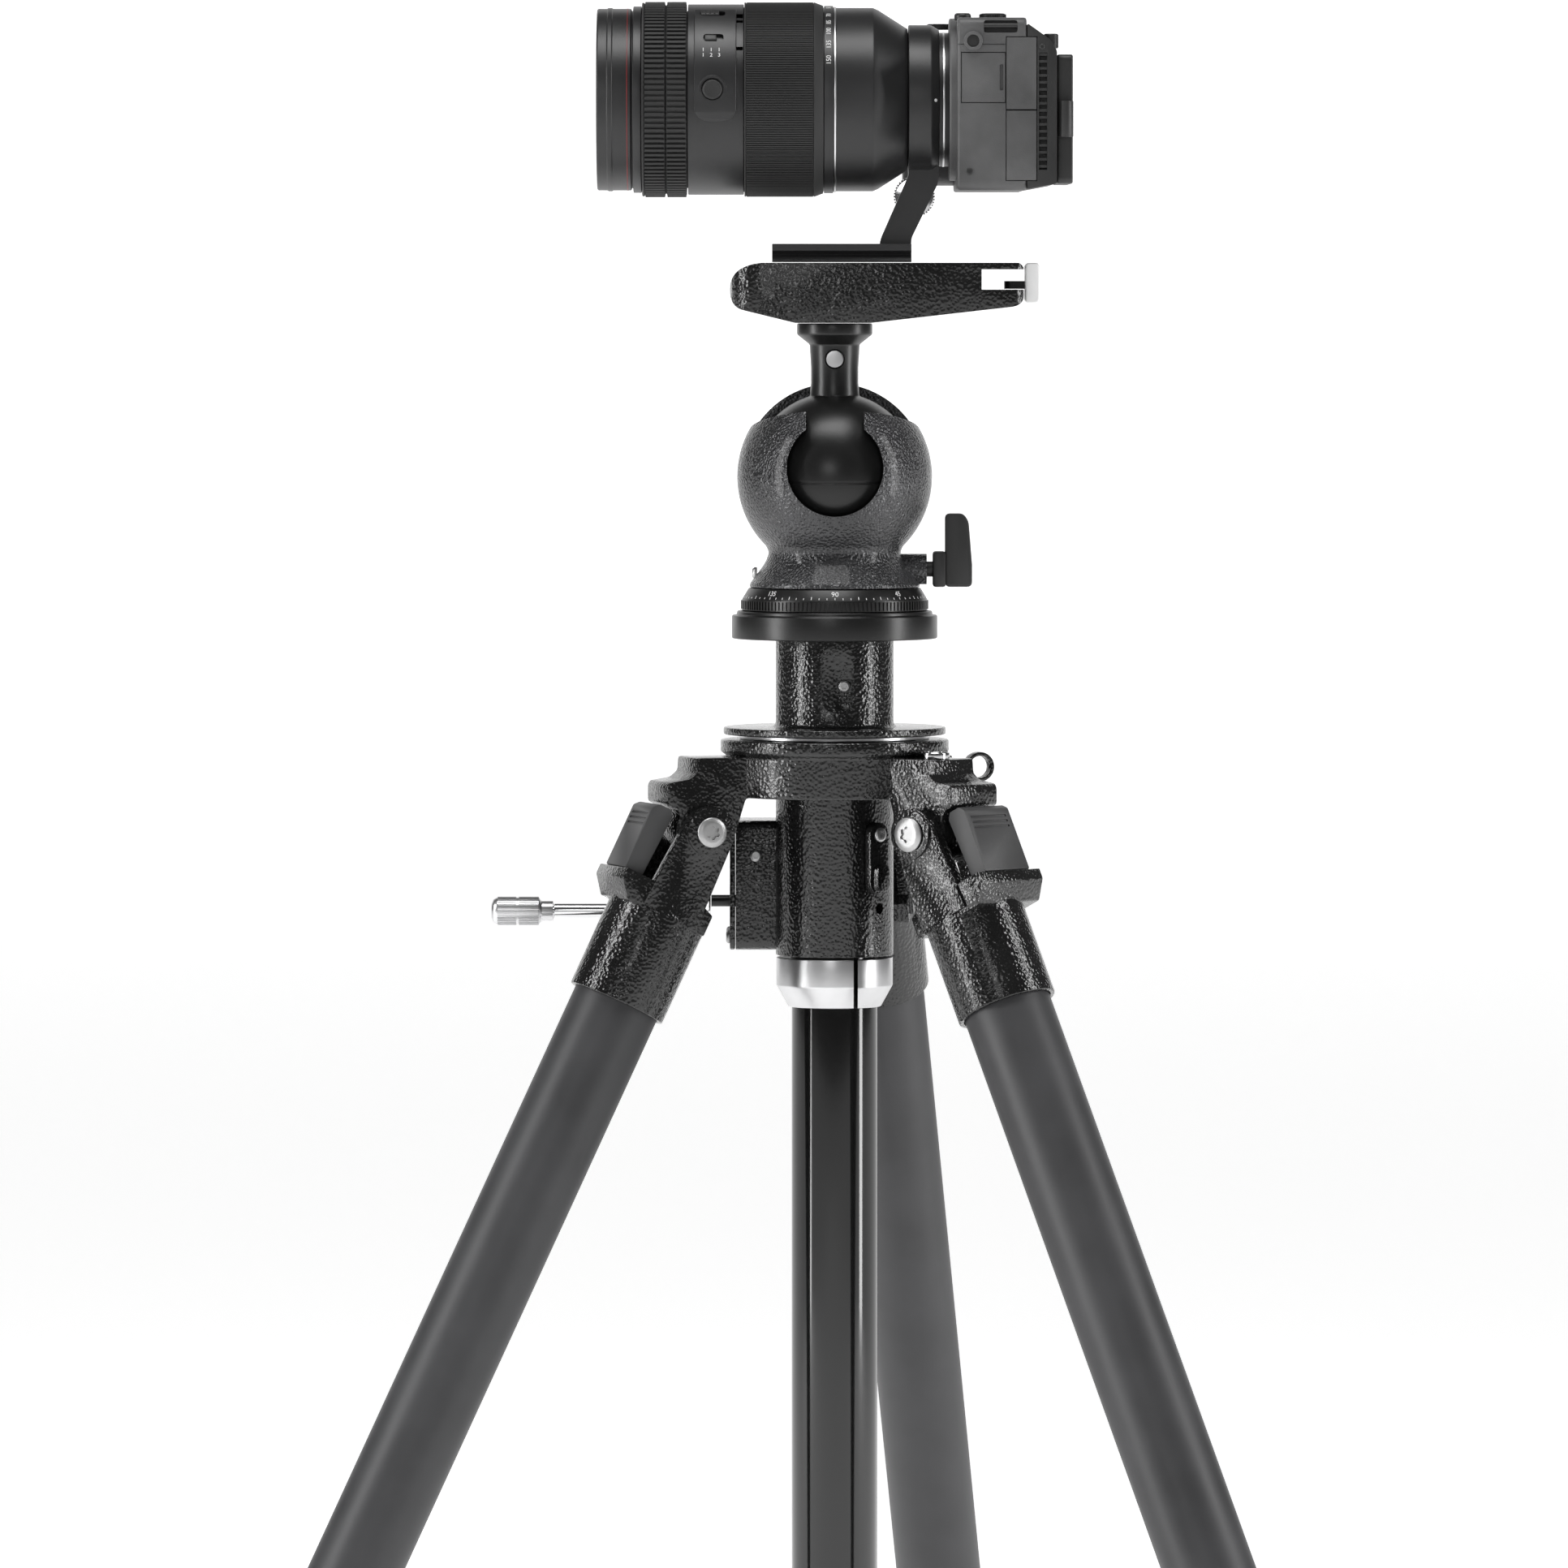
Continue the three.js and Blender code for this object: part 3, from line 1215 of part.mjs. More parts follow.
const buttonFoot = CAMERA.top - RECORD_BUTTON.well + RECORD_BUTTON.travel;
const recordButton = disc(RECORD_BUTTON.radius, buttonFoot, CAMERA.top + RECORD_BUTTON.rise);
recordButton.translate(RECORD_BUTTON.x, RECORD_BUTTON.y, 0);
piece("record_button", recordButton, "blackPlastic");
const topDial = disc(6.2, CAMERA.top + GAP, CAMERA.top + 2.5, 24).translate(71.6, -16, 0);
piece("top_dial", topDial, "blackPlastic");

// ---------------------------------------------------------------- the part's frame
// The origin stands on the floor, under the middle of the whole object's box.
const box = new THREE.Box3().setFromObject(stand, true);
stand.position.set(-(box.min.x + box.max.x) / 2, -(box.min.y + box.max.y) / 2, -box.min.z);
const part = new THREE.Group();
part.add(stand);

export default part;
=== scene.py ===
# %% [markdown]
# # A film camera on a tripod
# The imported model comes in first, as a fixed frame. Its nodes stay where they are:
# they tell us where every piece goes, and MuJoCo uses them for collision. What we
# model here stands in front of them with the finer shapes and finishes.

# %% The frame
import json
import math
import bpy
import bmesh
from mathutils import Matrix, Vector


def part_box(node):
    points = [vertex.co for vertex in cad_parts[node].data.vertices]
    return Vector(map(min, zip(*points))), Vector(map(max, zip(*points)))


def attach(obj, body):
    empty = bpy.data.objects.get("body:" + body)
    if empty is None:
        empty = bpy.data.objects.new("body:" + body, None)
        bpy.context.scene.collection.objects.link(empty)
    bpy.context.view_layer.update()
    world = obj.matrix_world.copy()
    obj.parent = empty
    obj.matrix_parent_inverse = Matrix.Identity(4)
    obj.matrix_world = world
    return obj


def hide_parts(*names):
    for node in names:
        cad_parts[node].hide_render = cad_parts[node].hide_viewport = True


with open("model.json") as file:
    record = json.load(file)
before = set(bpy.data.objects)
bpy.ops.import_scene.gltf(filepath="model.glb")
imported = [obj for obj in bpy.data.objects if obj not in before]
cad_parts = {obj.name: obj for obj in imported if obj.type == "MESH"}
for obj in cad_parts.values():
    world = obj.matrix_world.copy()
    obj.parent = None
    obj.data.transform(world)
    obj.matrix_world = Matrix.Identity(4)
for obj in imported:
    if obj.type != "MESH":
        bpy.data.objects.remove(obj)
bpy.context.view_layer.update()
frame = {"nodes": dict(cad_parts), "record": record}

# %% [markdown]
# The maker's drawing of this stand counts heights from the leg hinges, and radii
# from the column's axis, in millimetres. Working in those numbers keeps the sizes
# readable, so we find that point in the frame once and come back to it at the end
# of every piece.

# %% The drawing's origin
MM = 0.001
GAP = 0.3
tube_low, tube_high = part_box("column_tube")
HOUSING_FOOT = 109.9
housing_low, housing_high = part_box("ball_housing")
ORIGIN = Vector((
    (tube_low.x + tube_high.x) / 2,
    (tube_low.y + tube_high.y) / 2,
    housing_low.z - HOUSING_FOOT * MM,
))
TO_FRAME = Matrix.Translation(ORIGIN) @ Matrix.Scale(MM, 4)
print("drawing origin in the frame:", [round(value, 5) for value in ORIGIN])


def on_frame(x, y, z):
    """A point of the drawing, in millimetres, as a place in the frame."""
    return TO_FRAME @ Vector((x, y, z))


# %% [markdown]
# A long lens far away keeps upright tubes upright, as a product photographer
# wants. The camera stands about five metres off and looks down by under three
# degrees, so the tops of the discs just show.

# %% Camera
VIEW_DISTANCE = 5000
VIEW_LENS = 251.6
view_centre = (-23.1, 0, 20)
camera_data = bpy.data.cameras.new("view")
camera_data.lens = VIEW_LENS
camera_data.sensor_width = 36
camera_data.clip_end = 100
camera = bpy.data.objects.new("view", camera_data)
bpy.context.scene.collection.objects.link(camera)
camera.location = on_frame(view_centre[0], -VIEW_DISTANCE, view_centre[2] + 232)
aim = on_frame(*view_centre) - camera.location
camera.rotation_euler = aim.to_track_quat("-Z", "Y").to_euler()
bpy.context.scene.camera = camera
print("camera at", [round(value, 3) for value in camera.location])

# %% [markdown]
# Black paint shows only what it mirrors. Two tall soft boxes beside the stand give
# each round part a bright line along both edges and leave its middle dark, and a
# broad box overhead lights the top faces. The floor and the wall behind are pale
# paper that glows a little, so the outline reads clearly and nothing else is lit
# from the front but a weak fill.

# %% Floor, wall and lights
def soft_box(name, place, size, power, aim_at):
    data = bpy.data.lights.new(name, "AREA")
    data.shape = "RECTANGLE"
    data.size, data.size_y = size
    data.energy = power
    light = bpy.data.objects.new(name, data)
    bpy.context.scene.collection.objects.link(light)
    light.location = place
    light.rotation_euler = (Vector(aim_at) - light.location).to_track_quat("-Z", "Y").to_euler()
    return light


middle = on_frame(0, 0, 60)
soft_box("left_box", (middle.x - 1.9, middle.y - 0.7, 1.0), (0.34, 2.4), 34, middle)
soft_box("right_box", (middle.x + 1.9, middle.y - 0.5, 1.0), (0.34, 2.4), 30, middle)
soft_box("top_box", (middle.x - 0.1, middle.y - 0.5, 2.6), (1.3, 0.9), 26, middle)
soft_box("front_fill", (middle.x - 0.5, middle.y - 3.6, 1.5), (0.8, 0.8), 9, middle)

bpy.ops.object.select_all(action="DESELECT")
bpy.ops.mesh.primitive_plane_add(size=24, location=(0, 3, -0.0005))
floor = bpy.context.object
floor.name = "floor"
bpy.ops.object.mode_set(mode="EDIT")
edges = bmesh.from_edit_mesh(floor.data)
for edge in edges.edges:
    edge.select = all(vertex.co.y > 0 for vertex in edge.verts)
edges.select_flush_mode()
bmesh.update_edit_mesh(floor.data)
bpy.ops.mesh.extrude_region_move(TRANSFORM_OT_translate={"value": (0, 0, 12)})
bpy.ops.object.mode_set(mode="OBJECT")

paper = bpy.data.materials.new("studio_paper")
paper.use_nodes = True
paper_shader = paper.node_tree.nodes["Principled BSDF"]
paper_shader.inputs["Base Color"].default_value = (0.88, 0.88, 0.88, 1)
paper_shader.inputs["Emission Color"].default_value = (1, 1, 1, 1)
paper_shader.inputs["Emission Strength"].default_value = 0.7
paper_shader.inputs["Roughness"].default_value = 0.9
floor.data.materials.append(paper)

world = bpy.data.worlds.new("studio")
world.use_nodes = True
world.node_tree.nodes["Background"].inputs["Color"].default_value = (1, 1, 1, 1)
world.node_tree.nodes["Background"].inputs["Strength"].default_value = 0.1
bpy.context.scene.world = world
bpy.context.scene.view_settings.view_transform = "Standard"

# %% [markdown]
# Several finishes share an effect. Hammered paint is a sheet of small soft dimples
# where the paint pulled together as it dried: rounded cells, a few millimetres
# wide. We build it once as a node group with a cell size, and put it in each
# painted material with its own depth.

# %% Shared surface effects
def group_with(name, inputs, outputs):
    tree = bpy.data.node_groups.new(name, "ShaderNodeTree")
    for label, kind, value in inputs:
        socket = tree.interface.new_socket(label, in_out="INPUT", socket_type=kind)
        socket.default_value = value
    for label, kind in outputs:
        tree.interface.new_socket(label, in_out="OUTPUT", socket_type=kind)
    tree.nodes.new("NodeGroupInput")
    tree.nodes.new("NodeGroupOutput")
    return tree


NUMBER = "NodeSocketFloat"


def add_node(tree, kind, **settings):
    node = tree.nodes.new(kind)
    for key, value in settings.items():
        setattr(node, key, value)
    return node


def span(tree, source, low, high):
    """Turns a 0 to 1 value into low to high."""
    node = add_node(tree, "ShaderNodeMapRange")
    node.inputs["To Min"].default_value = low
    node.inputs["To Max"].default_value = high
    tree.links.new(source, node.inputs["Value"])
    return node.outputs["Result"]


def dimples_group():
    tree = group_with("paint_dimples", [("Cells per metre", NUMBER, 300)], [("Height", NUMBER), ("Tone", NUMBER)])
    start, end = tree.nodes["Group Input"], tree.nodes["Group Output"]
    place = add_node(tree, "ShaderNodeTexCoord")
    cells = add_node(tree, "ShaderNodeTexVoronoi", feature="SMOOTH_F1")
    cells.inputs["Smoothness"].default_value = 0.7
    tree.links.new(place.outputs["Object"], cells.inputs["Vector"])
    tree.links.new(start.outputs[0], cells.inputs["Scale"])
    tree.links.new(cells.outputs["Distance"], end.inputs["Height"])
    cloud = add_node(tree, "ShaderNodeTexNoise")
    cloud.inputs["Scale"].default_value = 45
    tree.links.new(place.outputs["Object"], cloud.inputs["Vector"])
    tree.links.new(cloud.outputs["Fac"], end.inputs["Tone"])
    return tree


def grain_group():
    tree = group_with("fine_grain", [("Grains per metre", NUMBER, 2500)], [("Height", NUMBER), ("Tone", NUMBER)])
    start, end = tree.nodes["Group Input"], tree.nodes["Group Output"]
    place = add_node(tree, "ShaderNodeTexCoord")
    grain = add_node(tree, "ShaderNodeTexNoise")
    grain.inputs["Detail"].default_value = 3
    tree.links.new(place.outputs["Object"], grain.inputs["Vector"])
    tree.links.new(start.outputs[0], grain.inputs["Scale"])
    tree.links.new(grain.outputs["Fac"], end.inputs["Height"])
    cloud = add_node(tree, "ShaderNodeTexNoise")
    cloud.inputs["Scale"].default_value = 30
    cloud.inputs["Detail"].default_value = 4
    tree.links.new(place.outputs["Object"], cloud.inputs["Vector"])
    tree.links.new(cloud.outputs["Fac"], end.inputs["Tone"])
    return tree


DIMPLES = dimples_group()
GRAIN = grain_group()
print("node groups:", DIMPLES.name, GRAIN.name)

# %% [markdown]
# Each finish is one Principled shader. The colour moves a little between two close
# values, the roughness moves with it, and a bump carries the dimples or the grain.
# Metals, coat and gloss are constants, so they are set on the shader itself.

# %% Finishes
def finish(name, dark, light, rough, metallic=0.0, coat=0.0, effect=None, per_metre=2500,
           depth=0.1, reach=0.0002):
    material = bpy.data.materials.new(name)
    material.use_nodes = True
    tree = material.node_tree
    shader = tree.nodes["Principled BSDF"]
    shader.inputs["Metallic"].default_value = metallic
    shader.inputs["Coat Weight"].default_value = coat
    shader.inputs["Coat Roughness"].default_value = 0.06
    texture = add_node(tree, "ShaderNodeGroup", node_tree=effect or GRAIN)
    texture.inputs[0].default_value = per_metre
    blend = add_node(tree, "ShaderNodeMix", data_type="RGBA")
    blend.inputs[6].default_value = (*dark, 1)
    blend.inputs[7].default_value = (*light, 1)
    tree.links.new(span(tree, texture.outputs["Tone"], -0.4, 1.4), blend.inputs["Factor"])
    tree.links.new(blend.outputs[2], shader.inputs["Base Color"])
    tree.links.new(span(tree, texture.outputs["Tone"], rough[0], rough[1]), shader.inputs["Roughness"])
    bump = add_node(tree, "ShaderNodeBump")
    bump.inputs["Strength"].default_value = depth
    bump.inputs["Distance"].default_value = reach
    tree.links.new(texture.outputs["Height"], bump.inputs["Height"])
    tree.links.new(bump.outputs["Normal"], shader.inputs["Normal"])
    return material


def grey(value, blue=1.0):
    return (value, value, value * blue)


FINISH = {
    "hammered_black": finish("hammered_black_paint", grey(0.004), grey(0.009), (0.12, 0.22),
                             coat=0.15, effect=DIMPLES, per_metre=680, depth=0.6, reach=0.0006),
    "hammered_grey": finish("hammered_grey_paint", grey(0.030, 1.04), grey(0.055, 1.05), (0.2, 0.32),
                            metallic=0.5, coat=0.15, effect=DIMPLES, per_metre=820, depth=0.9, reach=0.0007),
    "satin_black": finish("satin_black_anodised", grey(0.005), grey(0.010), (0.26, 0.36), metallic=0.2),
    "gloss_black": finish("polished_black_tube", grey(0.002), grey(0.004), (0.07, 0.12), coat=0.2, depth=0.03),
    "carbon": finish("lacquered_carbon", grey(0.024, 1.05), grey(0.042, 1.06), (0.42, 0.54),
                     coat=0.0, per_metre=900, depth=0.06),
    "aluminium": finish("brushed_aluminium", grey(0.5, 1.01), grey(0.68, 1.01), (0.24, 0.36), metallic=1.0),
    "chrome": finish("polished_steel", grey(0.6, 1.01), grey(0.76, 1.01), (0.06, 0.13), metallic=1.0, depth=0.02),
    "bolt_steel": finish("brushed_bolt_steel", grey(0.34), grey(0.46), (0.34, 0.46), metallic=0.9, depth=0.02),
    "rubber": finish("ribbed_rubber", grey(0.008), grey(0.015), (0.55, 0.72), depth=0.25),
    "grey_plastic": finish("moulded_grey", grey(0.030, 1.02), grey(0.045, 1.02), (0.42, 0.54), depth=0.2),
    "black_plastic": finish("moulded_black", grey(0.009), grey(0.018), (0.38, 0.52), depth=0.25),
    "lens_black": finish("lens_coating", grey(0.007, 1.05), grey(0.013, 1.05), (0.33, 0.44), depth=0.16),
    "shell_grey": finish("speckled_shell", grey(0.030, 1.02), grey(0.105, 1.01), (0.42, 0.56),
                         per_metre=1900, depth=0.45),
    "lever_white": finish("pale_satin", grey(0.72), grey(0.84), (0.25, 0.36), depth=0.04),
    "glass": finish("coated_glass", grey(0.010, 1.5), grey(0.02, 1.5), (0.02, 0.05), coat=1.0, depth=0.0),
    "level_glass": finish("level_liquid", (0.35, 0.46, 0.12), (0.5, 0.6, 0.2), (0.04, 0.1), coat=1.0, depth=0.0),
    "mark_white": finish("painted_marks", grey(0.62), grey(0.74), (0.45, 0.55), depth=0.03),
    "mark_red": finish("red_line", (0.09, 0.003, 0.004), (0.13, 0.005, 0.006), (0.35, 0.45), depth=0.03),
}
print(len(FINISH), "finishes")

# %% [markdown]
# Every node of the frame gets its finish now. A node that we model again later
# hides behind its finer piece; one that has the right shape already stays.

# %% Finishes on the frame
for entry in frame["record"]["subparts"]:
    node = frame["nodes"][entry["node"]]
    node.data.materials.clear()
    node.data.materials.append(FINISH[entry["material_slot"]])
print("painted", len(frame["nodes"]), "nodes")

# %% [markdown]
# Most of this object was turned on a lathe or moulded round an axis. For such a
# piece we draw half of its outline as a chain of points, and spin the chain round
# the axis. Sharp corners never look real, because they catch no light, so each
# corner of the outline is first eased with a small arc.

# %% Turning a piece
SMOOTH_LIMIT = math.radians(32)


def deselect():
    if bpy.context.object and bpy.context.object.mode != "OBJECT":
        bpy.ops.object.mode_set(mode="OBJECT")
    bpy.ops.object.select_all(action="DESELECT")


def choose(*things):
    deselect()
    for thing in things:
        thing.select_set(True)
    bpy.context.view_layer.objects.active = things[0]


def eased(corners, radius, closed=False, steps=3):
    """The same outline with each corner cut back to a small arc."""
    points = [Vector(corner) for corner in corners]
    result = []
    last = len(points) - 1
    for index, corner in enumerate(points):
        if not closed and index in (0, last):
            result.append(corner)
            continue
        before = points[index - 1] - corner
        after = points[(index + 1) % len(points)] - corner
        room = min(radius, before.length * 0.45, after.length * 0.45)
        turn = before.angle(after) if before.length and after.length else math.pi
        if room < 0.02 or turn > math.radians(168):
            result.append(corner)
            continue
        start = corner + before.normalized() * room
        end = corner + after.normalized() * room
        for step in range(steps + 1):
            share = step / steps
            result.append(start * (1 - share) ** 2 + corner * 2 * share * (1 - share) + end * share ** 2)
    return [tuple(point) for point in result]


def chain(points, closed):
    """Draws points as a chain in a new mesh: one vertex, then an extrusion for each next point."""
    deselect()
    bpy.ops.mesh.primitive_plane_add(size=0.1, location=(0, 0, 0))
    obj = bpy.context.object
    bpy.ops.object.mode_set(mode="EDIT")
    bpy.ops.mesh.select_all(action="SELECT")
    bpy.ops.mesh.merge(type="CENTER")
    bpy.ops.transform.translate(value=points[0])
    for before, after in zip(points, points[1:]):
        bpy.ops.mesh.extrude_vertices_move(TRANSFORM_OT_translate={"value": Vector(after) - Vector(before)})
    if closed:
        bpy.ops.mesh.select_all(action="SELECT")
        bpy.ops.mesh.edge_face_add()
    return obj


def tidy_mesh():
    bpy.ops.mesh.select_all(action="SELECT")
    bpy.ops.mesh.remove_doubles(threshold=0.002)
    bpy.ops.mesh.normals_make_consistent(inside=False)
    bpy.ops.object.mode_set(mode="OBJECT")


def turned(name, corners, ease=0.4, sides=96, along="Z", height=0.0):
    """A turned piece from (radius, position) corners, about Z, or about X at a height."""
    hollow = corners[0][0] > 0 and corners[-1][0] > 0
    ring = list(corners) + [corners[0]] if hollow else list(corners)
    smooth = eased(ring, ease)
    if along == "Z":
        points = [(radius, 0, position) for radius, position in smooth]
        axis, centre = (0, 0, 1), (0, 0, 0)
    else:
        points = [(position, 0, height + radius) for radius, position in smooth]
        axis, centre = (1, 0, 0), (0, 0, height)
    obj = chain(points, closed=False)
    bpy.ops.mesh.select_all(action="SELECT")
    bpy.ops.mesh.spin(steps=sides, angle=2 * math.pi, center=centre, axis=axis)
    tidy_mesh()
    obj.name = name
    return obj

# %% [markdown]
# A casting or a lever is a flat outline given thickness. We draw the outline as a
# closed chain, fill it, and extrude the face. The outline is drawn in the plane
# that shows the piece best, so each piece says which way it is extruded.

# %% Extruding an outline
PLANES = {
    "Y": lambda a, b, depth: (a, depth, b),
    "Z": lambda a, b, depth: (a, b, depth),
    "X": lambda a, b, depth: (depth, a, b),
}


def outlined(name, corners, start, end, along="Y", ease=1.0, steps=3):
    """A flat outline, eased at its corners, extruded along an axis from start to end."""
    place = PLANES[along]
    flat = eased(corners, ease, closed=True, steps=steps)
    obj = chain([place(a, b, start) for a, b in flat], closed=True)
    depth = Vector(place(0, 0, end)) - Vector(place(0, 0, start))
    bpy.ops.mesh.select_all(action="SELECT")
    bpy.ops.mesh.extrude_region_move(TRANSFORM_OT_translate={"value": depth})
    tidy_mesh()
    obj.name = name
    return obj


def box_corners(x0, x1, y0, y1):
    return [(x0, y0), (x1, y0), (x1, y1), (x0, y1)]


def arc(centre, radius, start, end, steps=12):
    """Corners along an arc, in degrees."""
    turns = [math.radians(start + (end - start) * step / steps) for step in range(steps + 1)]
    return [(centre[0] + radius * math.cos(turn), centre[1] + radius * math.sin(turn)) for turn in turns]


# %% Blocks and rods
def block(name, x0, x1, y0, y1, z0, z1):
    deselect()
    bpy.ops.mesh.primitive_cube_add(size=1, location=((x0 + x1) / 2, (y0 + y1) / 2, (z0 + z1) / 2))
    obj = bpy.context.object
    obj.name = name
    obj.scale = (x1 - x0, y1 - y0, z1 - z0)
    bpy.ops.object.transform_apply(location=True, rotation=True, scale=True)
    return obj


def rod(name, start, end, radius, sides=48):
    """A round rod between two points."""
    start, end = Vector(start), Vector(end)
    deselect()
    bpy.ops.mesh.primitive_cylinder_add(vertices=sides, radius=radius, depth=(end - start).length)
    obj = bpy.context.object
    obj.name = name
    obj.matrix_world = Matrix.Translation((start + end) / 2) @ (end - start).to_track_quat("Z", "Y").to_matrix().to_4x4()
    bpy.ops.object.transform_apply(location=True, rotation=True, scale=True)
    return obj


# %% [markdown]
# Modifiers do what files and cutters do in a workshop. A bevel takes the sharpness
# off every edge, and a boolean drills a hole or joins two castings. Each one is
# applied at once, so that the piece is a plain mesh when it is finished.

# %% Softening, drilling and joining
def apply_modifier(obj, kind, **settings):
    choose(obj)
    modifier = obj.modifiers.new(kind.lower(), kind)
    for key, value in settings.items():
        setattr(modifier, key, value)
    bpy.ops.object.modifier_apply(modifier=modifier.name)
    return obj


def soften(obj, width, segments=2, angle=32):
    return apply_modifier(obj, "BEVEL", width=width, segments=segments, limit_method="ANGLE",
                          angle_limit=math.radians(angle), use_clamp_overlap=True)


def boolean(obj, tools, operation):
    for tool in tools:
        apply_modifier(obj, "BOOLEAN", operation=operation, object=tool, solver="EXACT")
        bpy.data.objects.remove(tool, do_unlink=True)
    return obj


def drilled(obj, *tools):
    return boolean(obj, tools, "DIFFERENCE")


def fused(obj, *others):
    return boolean(obj, others, "UNION")


def kept_inside(obj, *tools):
    return boolean(obj, tools, "INTERSECT")


def together(name, *things):
    """Several closed shapes as one piece."""
    choose(*things)
    if len(things) > 1:
        bpy.ops.object.join()
    things[0].name = name
    return things[0]


def moved(obj, matrix):
    obj.data.transform(matrix)
    return obj


def copied(obj, matrix=None):
    twin = obj.copy()
    twin.data = obj.data.copy()
    bpy.context.scene.collection.objects.link(twin)
    return moved(twin, matrix) if matrix else twin


def turn_about(degrees, axis, centre=(0, 0, 0)):
    there = Matrix.Translation(centre)
    return there @ Matrix.Rotation(math.radians(degrees), 4, axis) @ there.inverted()


def around(obj, count, axis, centre=(0, 0, 0), arc_degrees=360, name=None):
    """Copies of one small shape set evenly round an axis, as one piece."""
    step = arc_degrees / count
    twins = [obj] + [copied(obj, turn_about(step * index, axis, centre)) for index in range(1, count)]
    return together(name or obj.name, *twins)


# %% [markdown]
# A finished piece leaves the drawing for the frame: it is scaled to metres and
# moved to its place, and its object is left at the origin. It gets its finish, it
# rides on the body that carries it, and the nodes it stands for are hidden.

# %% Finishing a piece
made = []


def done(obj, body, look, nodes=(), limit=SMOOTH_LIMIT):
    choose(obj)
    obj.data.transform(TO_FRAME)
    bpy.ops.object.shade_smooth_by_angle(angle=limit)
    obj.data.materials.clear()
    obj.data.materials.append(FINISH[look])
    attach(obj, body)
    if nodes:
        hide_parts(*nodes)
    made.append(obj.name)
    return obj


def torx_screw(name, radius, height, sides=32):
    """A button-head screw along +Z with a six-lobed socket, its seat at height 0."""
    head = turned(name, [(0, 0), (radius, 0), (radius, height * 0.55), (radius * 0.7, height), (0, height)],
                  ease=radius * 0.1, sides=sides)
    lobes = [(radius * (0.42 + 0.07 * math.cos(6 * turn)) * math.cos(turn),
              radius * (0.42 + 0.07 * math.cos(6 * turn)) * math.sin(turn))
             for turn in (2 * math.pi * step / 36 for step in range(36))]
    return drilled(head, outlined("socket", lobes, height * 0.45, height + 1, along="Z", ease=0))


def pointing(direction, place):
    """The turn and move that take a +Z shape to a place, pointing along a direction."""
    return Matrix.Translation(place) @ Vector(direction).to_track_quat("Z", "Y").to_matrix().to_4x4()

# %% [markdown]
# ## The crown
# The crown is one casting: a drum that holds the column's sleeve, with an arm for
# each leg. An arm ends in a round tongue between the leg's ears, and the ledges on
# its outer face are the stops that the leg's tab rests on. A drum is turned, an
# arm is an outline given thickness, and a union makes them one casting, so that a
# single bevel runs round every edge.

# %% Crown sizes
LEG_AZIMUTHS = {"left": 198, "right": 318, "back": 78}
SPREAD = 25.9
HINGE_RADIUS = 66.5
CROWN_BORE, DRUM_RADIUS, RIM_RADIUS = 37.6, 49.5, 52.2
CROWN_BOTTOM, DRUM_TOP, CROWN_TOP = 14.8, 33.5, 40.7
TONGUE_HALF, TONGUE_REACH = 15.5, 14
ARM_TOP, LEDGE_REACH = 33.3, 18

# %% Crown casting
crown = turned("crown", [
    (CROWN_BORE, CROWN_BOTTOM), (DRUM_RADIUS, CROWN_BOTTOM), (DRUM_RADIUS, DRUM_TOP),
    (RIM_RADIUS, DRUM_TOP + 1.5), (RIM_RADIUS, CROWN_TOP), (CROWN_BORE, CROWN_TOP),
], ease=1.1)


def crown_arm():
    tip = HINGE_RADIUS + LEDGE_REACH
    corners = [
        (CROWN_BORE + 5, ARM_TOP), (HINGE_RADIUS + 3.5, ARM_TOP), (HINGE_RADIUS + 4, ARM_TOP - 6.5),
        (HINGE_RADIUS + 7.5, ARM_TOP - 9.5), (tip - 1, ARM_TOP - 11), (tip, ARM_TOP - 13),
        (tip, ARM_TOP - 20.4), (HINGE_RADIUS + 13.6, 10.8),
        *arc((HINGE_RADIUS, 0), TONGUE_REACH, 30, -150, 24),
        (DRUM_RADIUS - 2, CROWN_BOTTOM), (CROWN_BORE + 5, CROWN_BOTTOM),
    ]
    return outlined("arm", corners, -TONGUE_HALF, TONGUE_HALF, ease=1.2, steps=2)


arm = crown_arm()
arms = [copied(arm, turn_about(azimuth, "Z")) for azimuth in LEG_AZIMUTHS.values()]
bpy.data.objects.remove(arm, do_unlink=True)
crown = fused(crown, *arms)
crown = soften(crown, 0.7)
done(crown, "stand", "hammered_black", ["crown_casting"])
print("crown:", len(crown.data.polygons), "faces")

# %% [markdown]
# The bubble level is a metal cup with a shallow glass dome. Under the glass lies
# green liquid with a pale bubble and a ring to centre it on.

# %% Bubble level
LEVEL_RADIUS, LEVEL_REACH = 6.6, 61.2
level_seat = ARM_TOP + GAP
to_level = turn_about(LEG_AZIMUTHS["right"], "Z") @ Matrix.Translation((LEVEL_REACH, 0, level_seat))
cup = turned("level_cup", [(LEVEL_RADIUS - 1.3, 0), (LEVEL_RADIUS, 0), (LEVEL_RADIUS, 2.4),
                           (LEVEL_RADIUS - 0.6, 3), (LEVEL_RADIUS - 1.3, 2.7)], ease=0.2, sides=48)
done(moved(cup, to_level), "stand", "chrome", ["bubble_level"])
vial = turned("level_vial", [(0, 0.1), (LEVEL_RADIUS - 1.35, 0.1), (LEVEL_RADIUS - 1.35, 2.1), (3, 2.5), (0, 2.6)],
              ease=0.4, sides=48)
done(moved(vial, to_level), "stand", "level_glass")
bubble = turned("level_bubble", [(1.9, 2.58), (2.4, 2.58), (2.4, 2.7), (1.9, 2.7)], ease=0.03, sides=32)
done(moved(bubble, to_level), "stand", "mark_white")

# %% [markdown]
# The strap hook is a flat ring on a short foot. The ring is turned about its own
# axis and laid over, and the foot is a softened block that meets the drum.

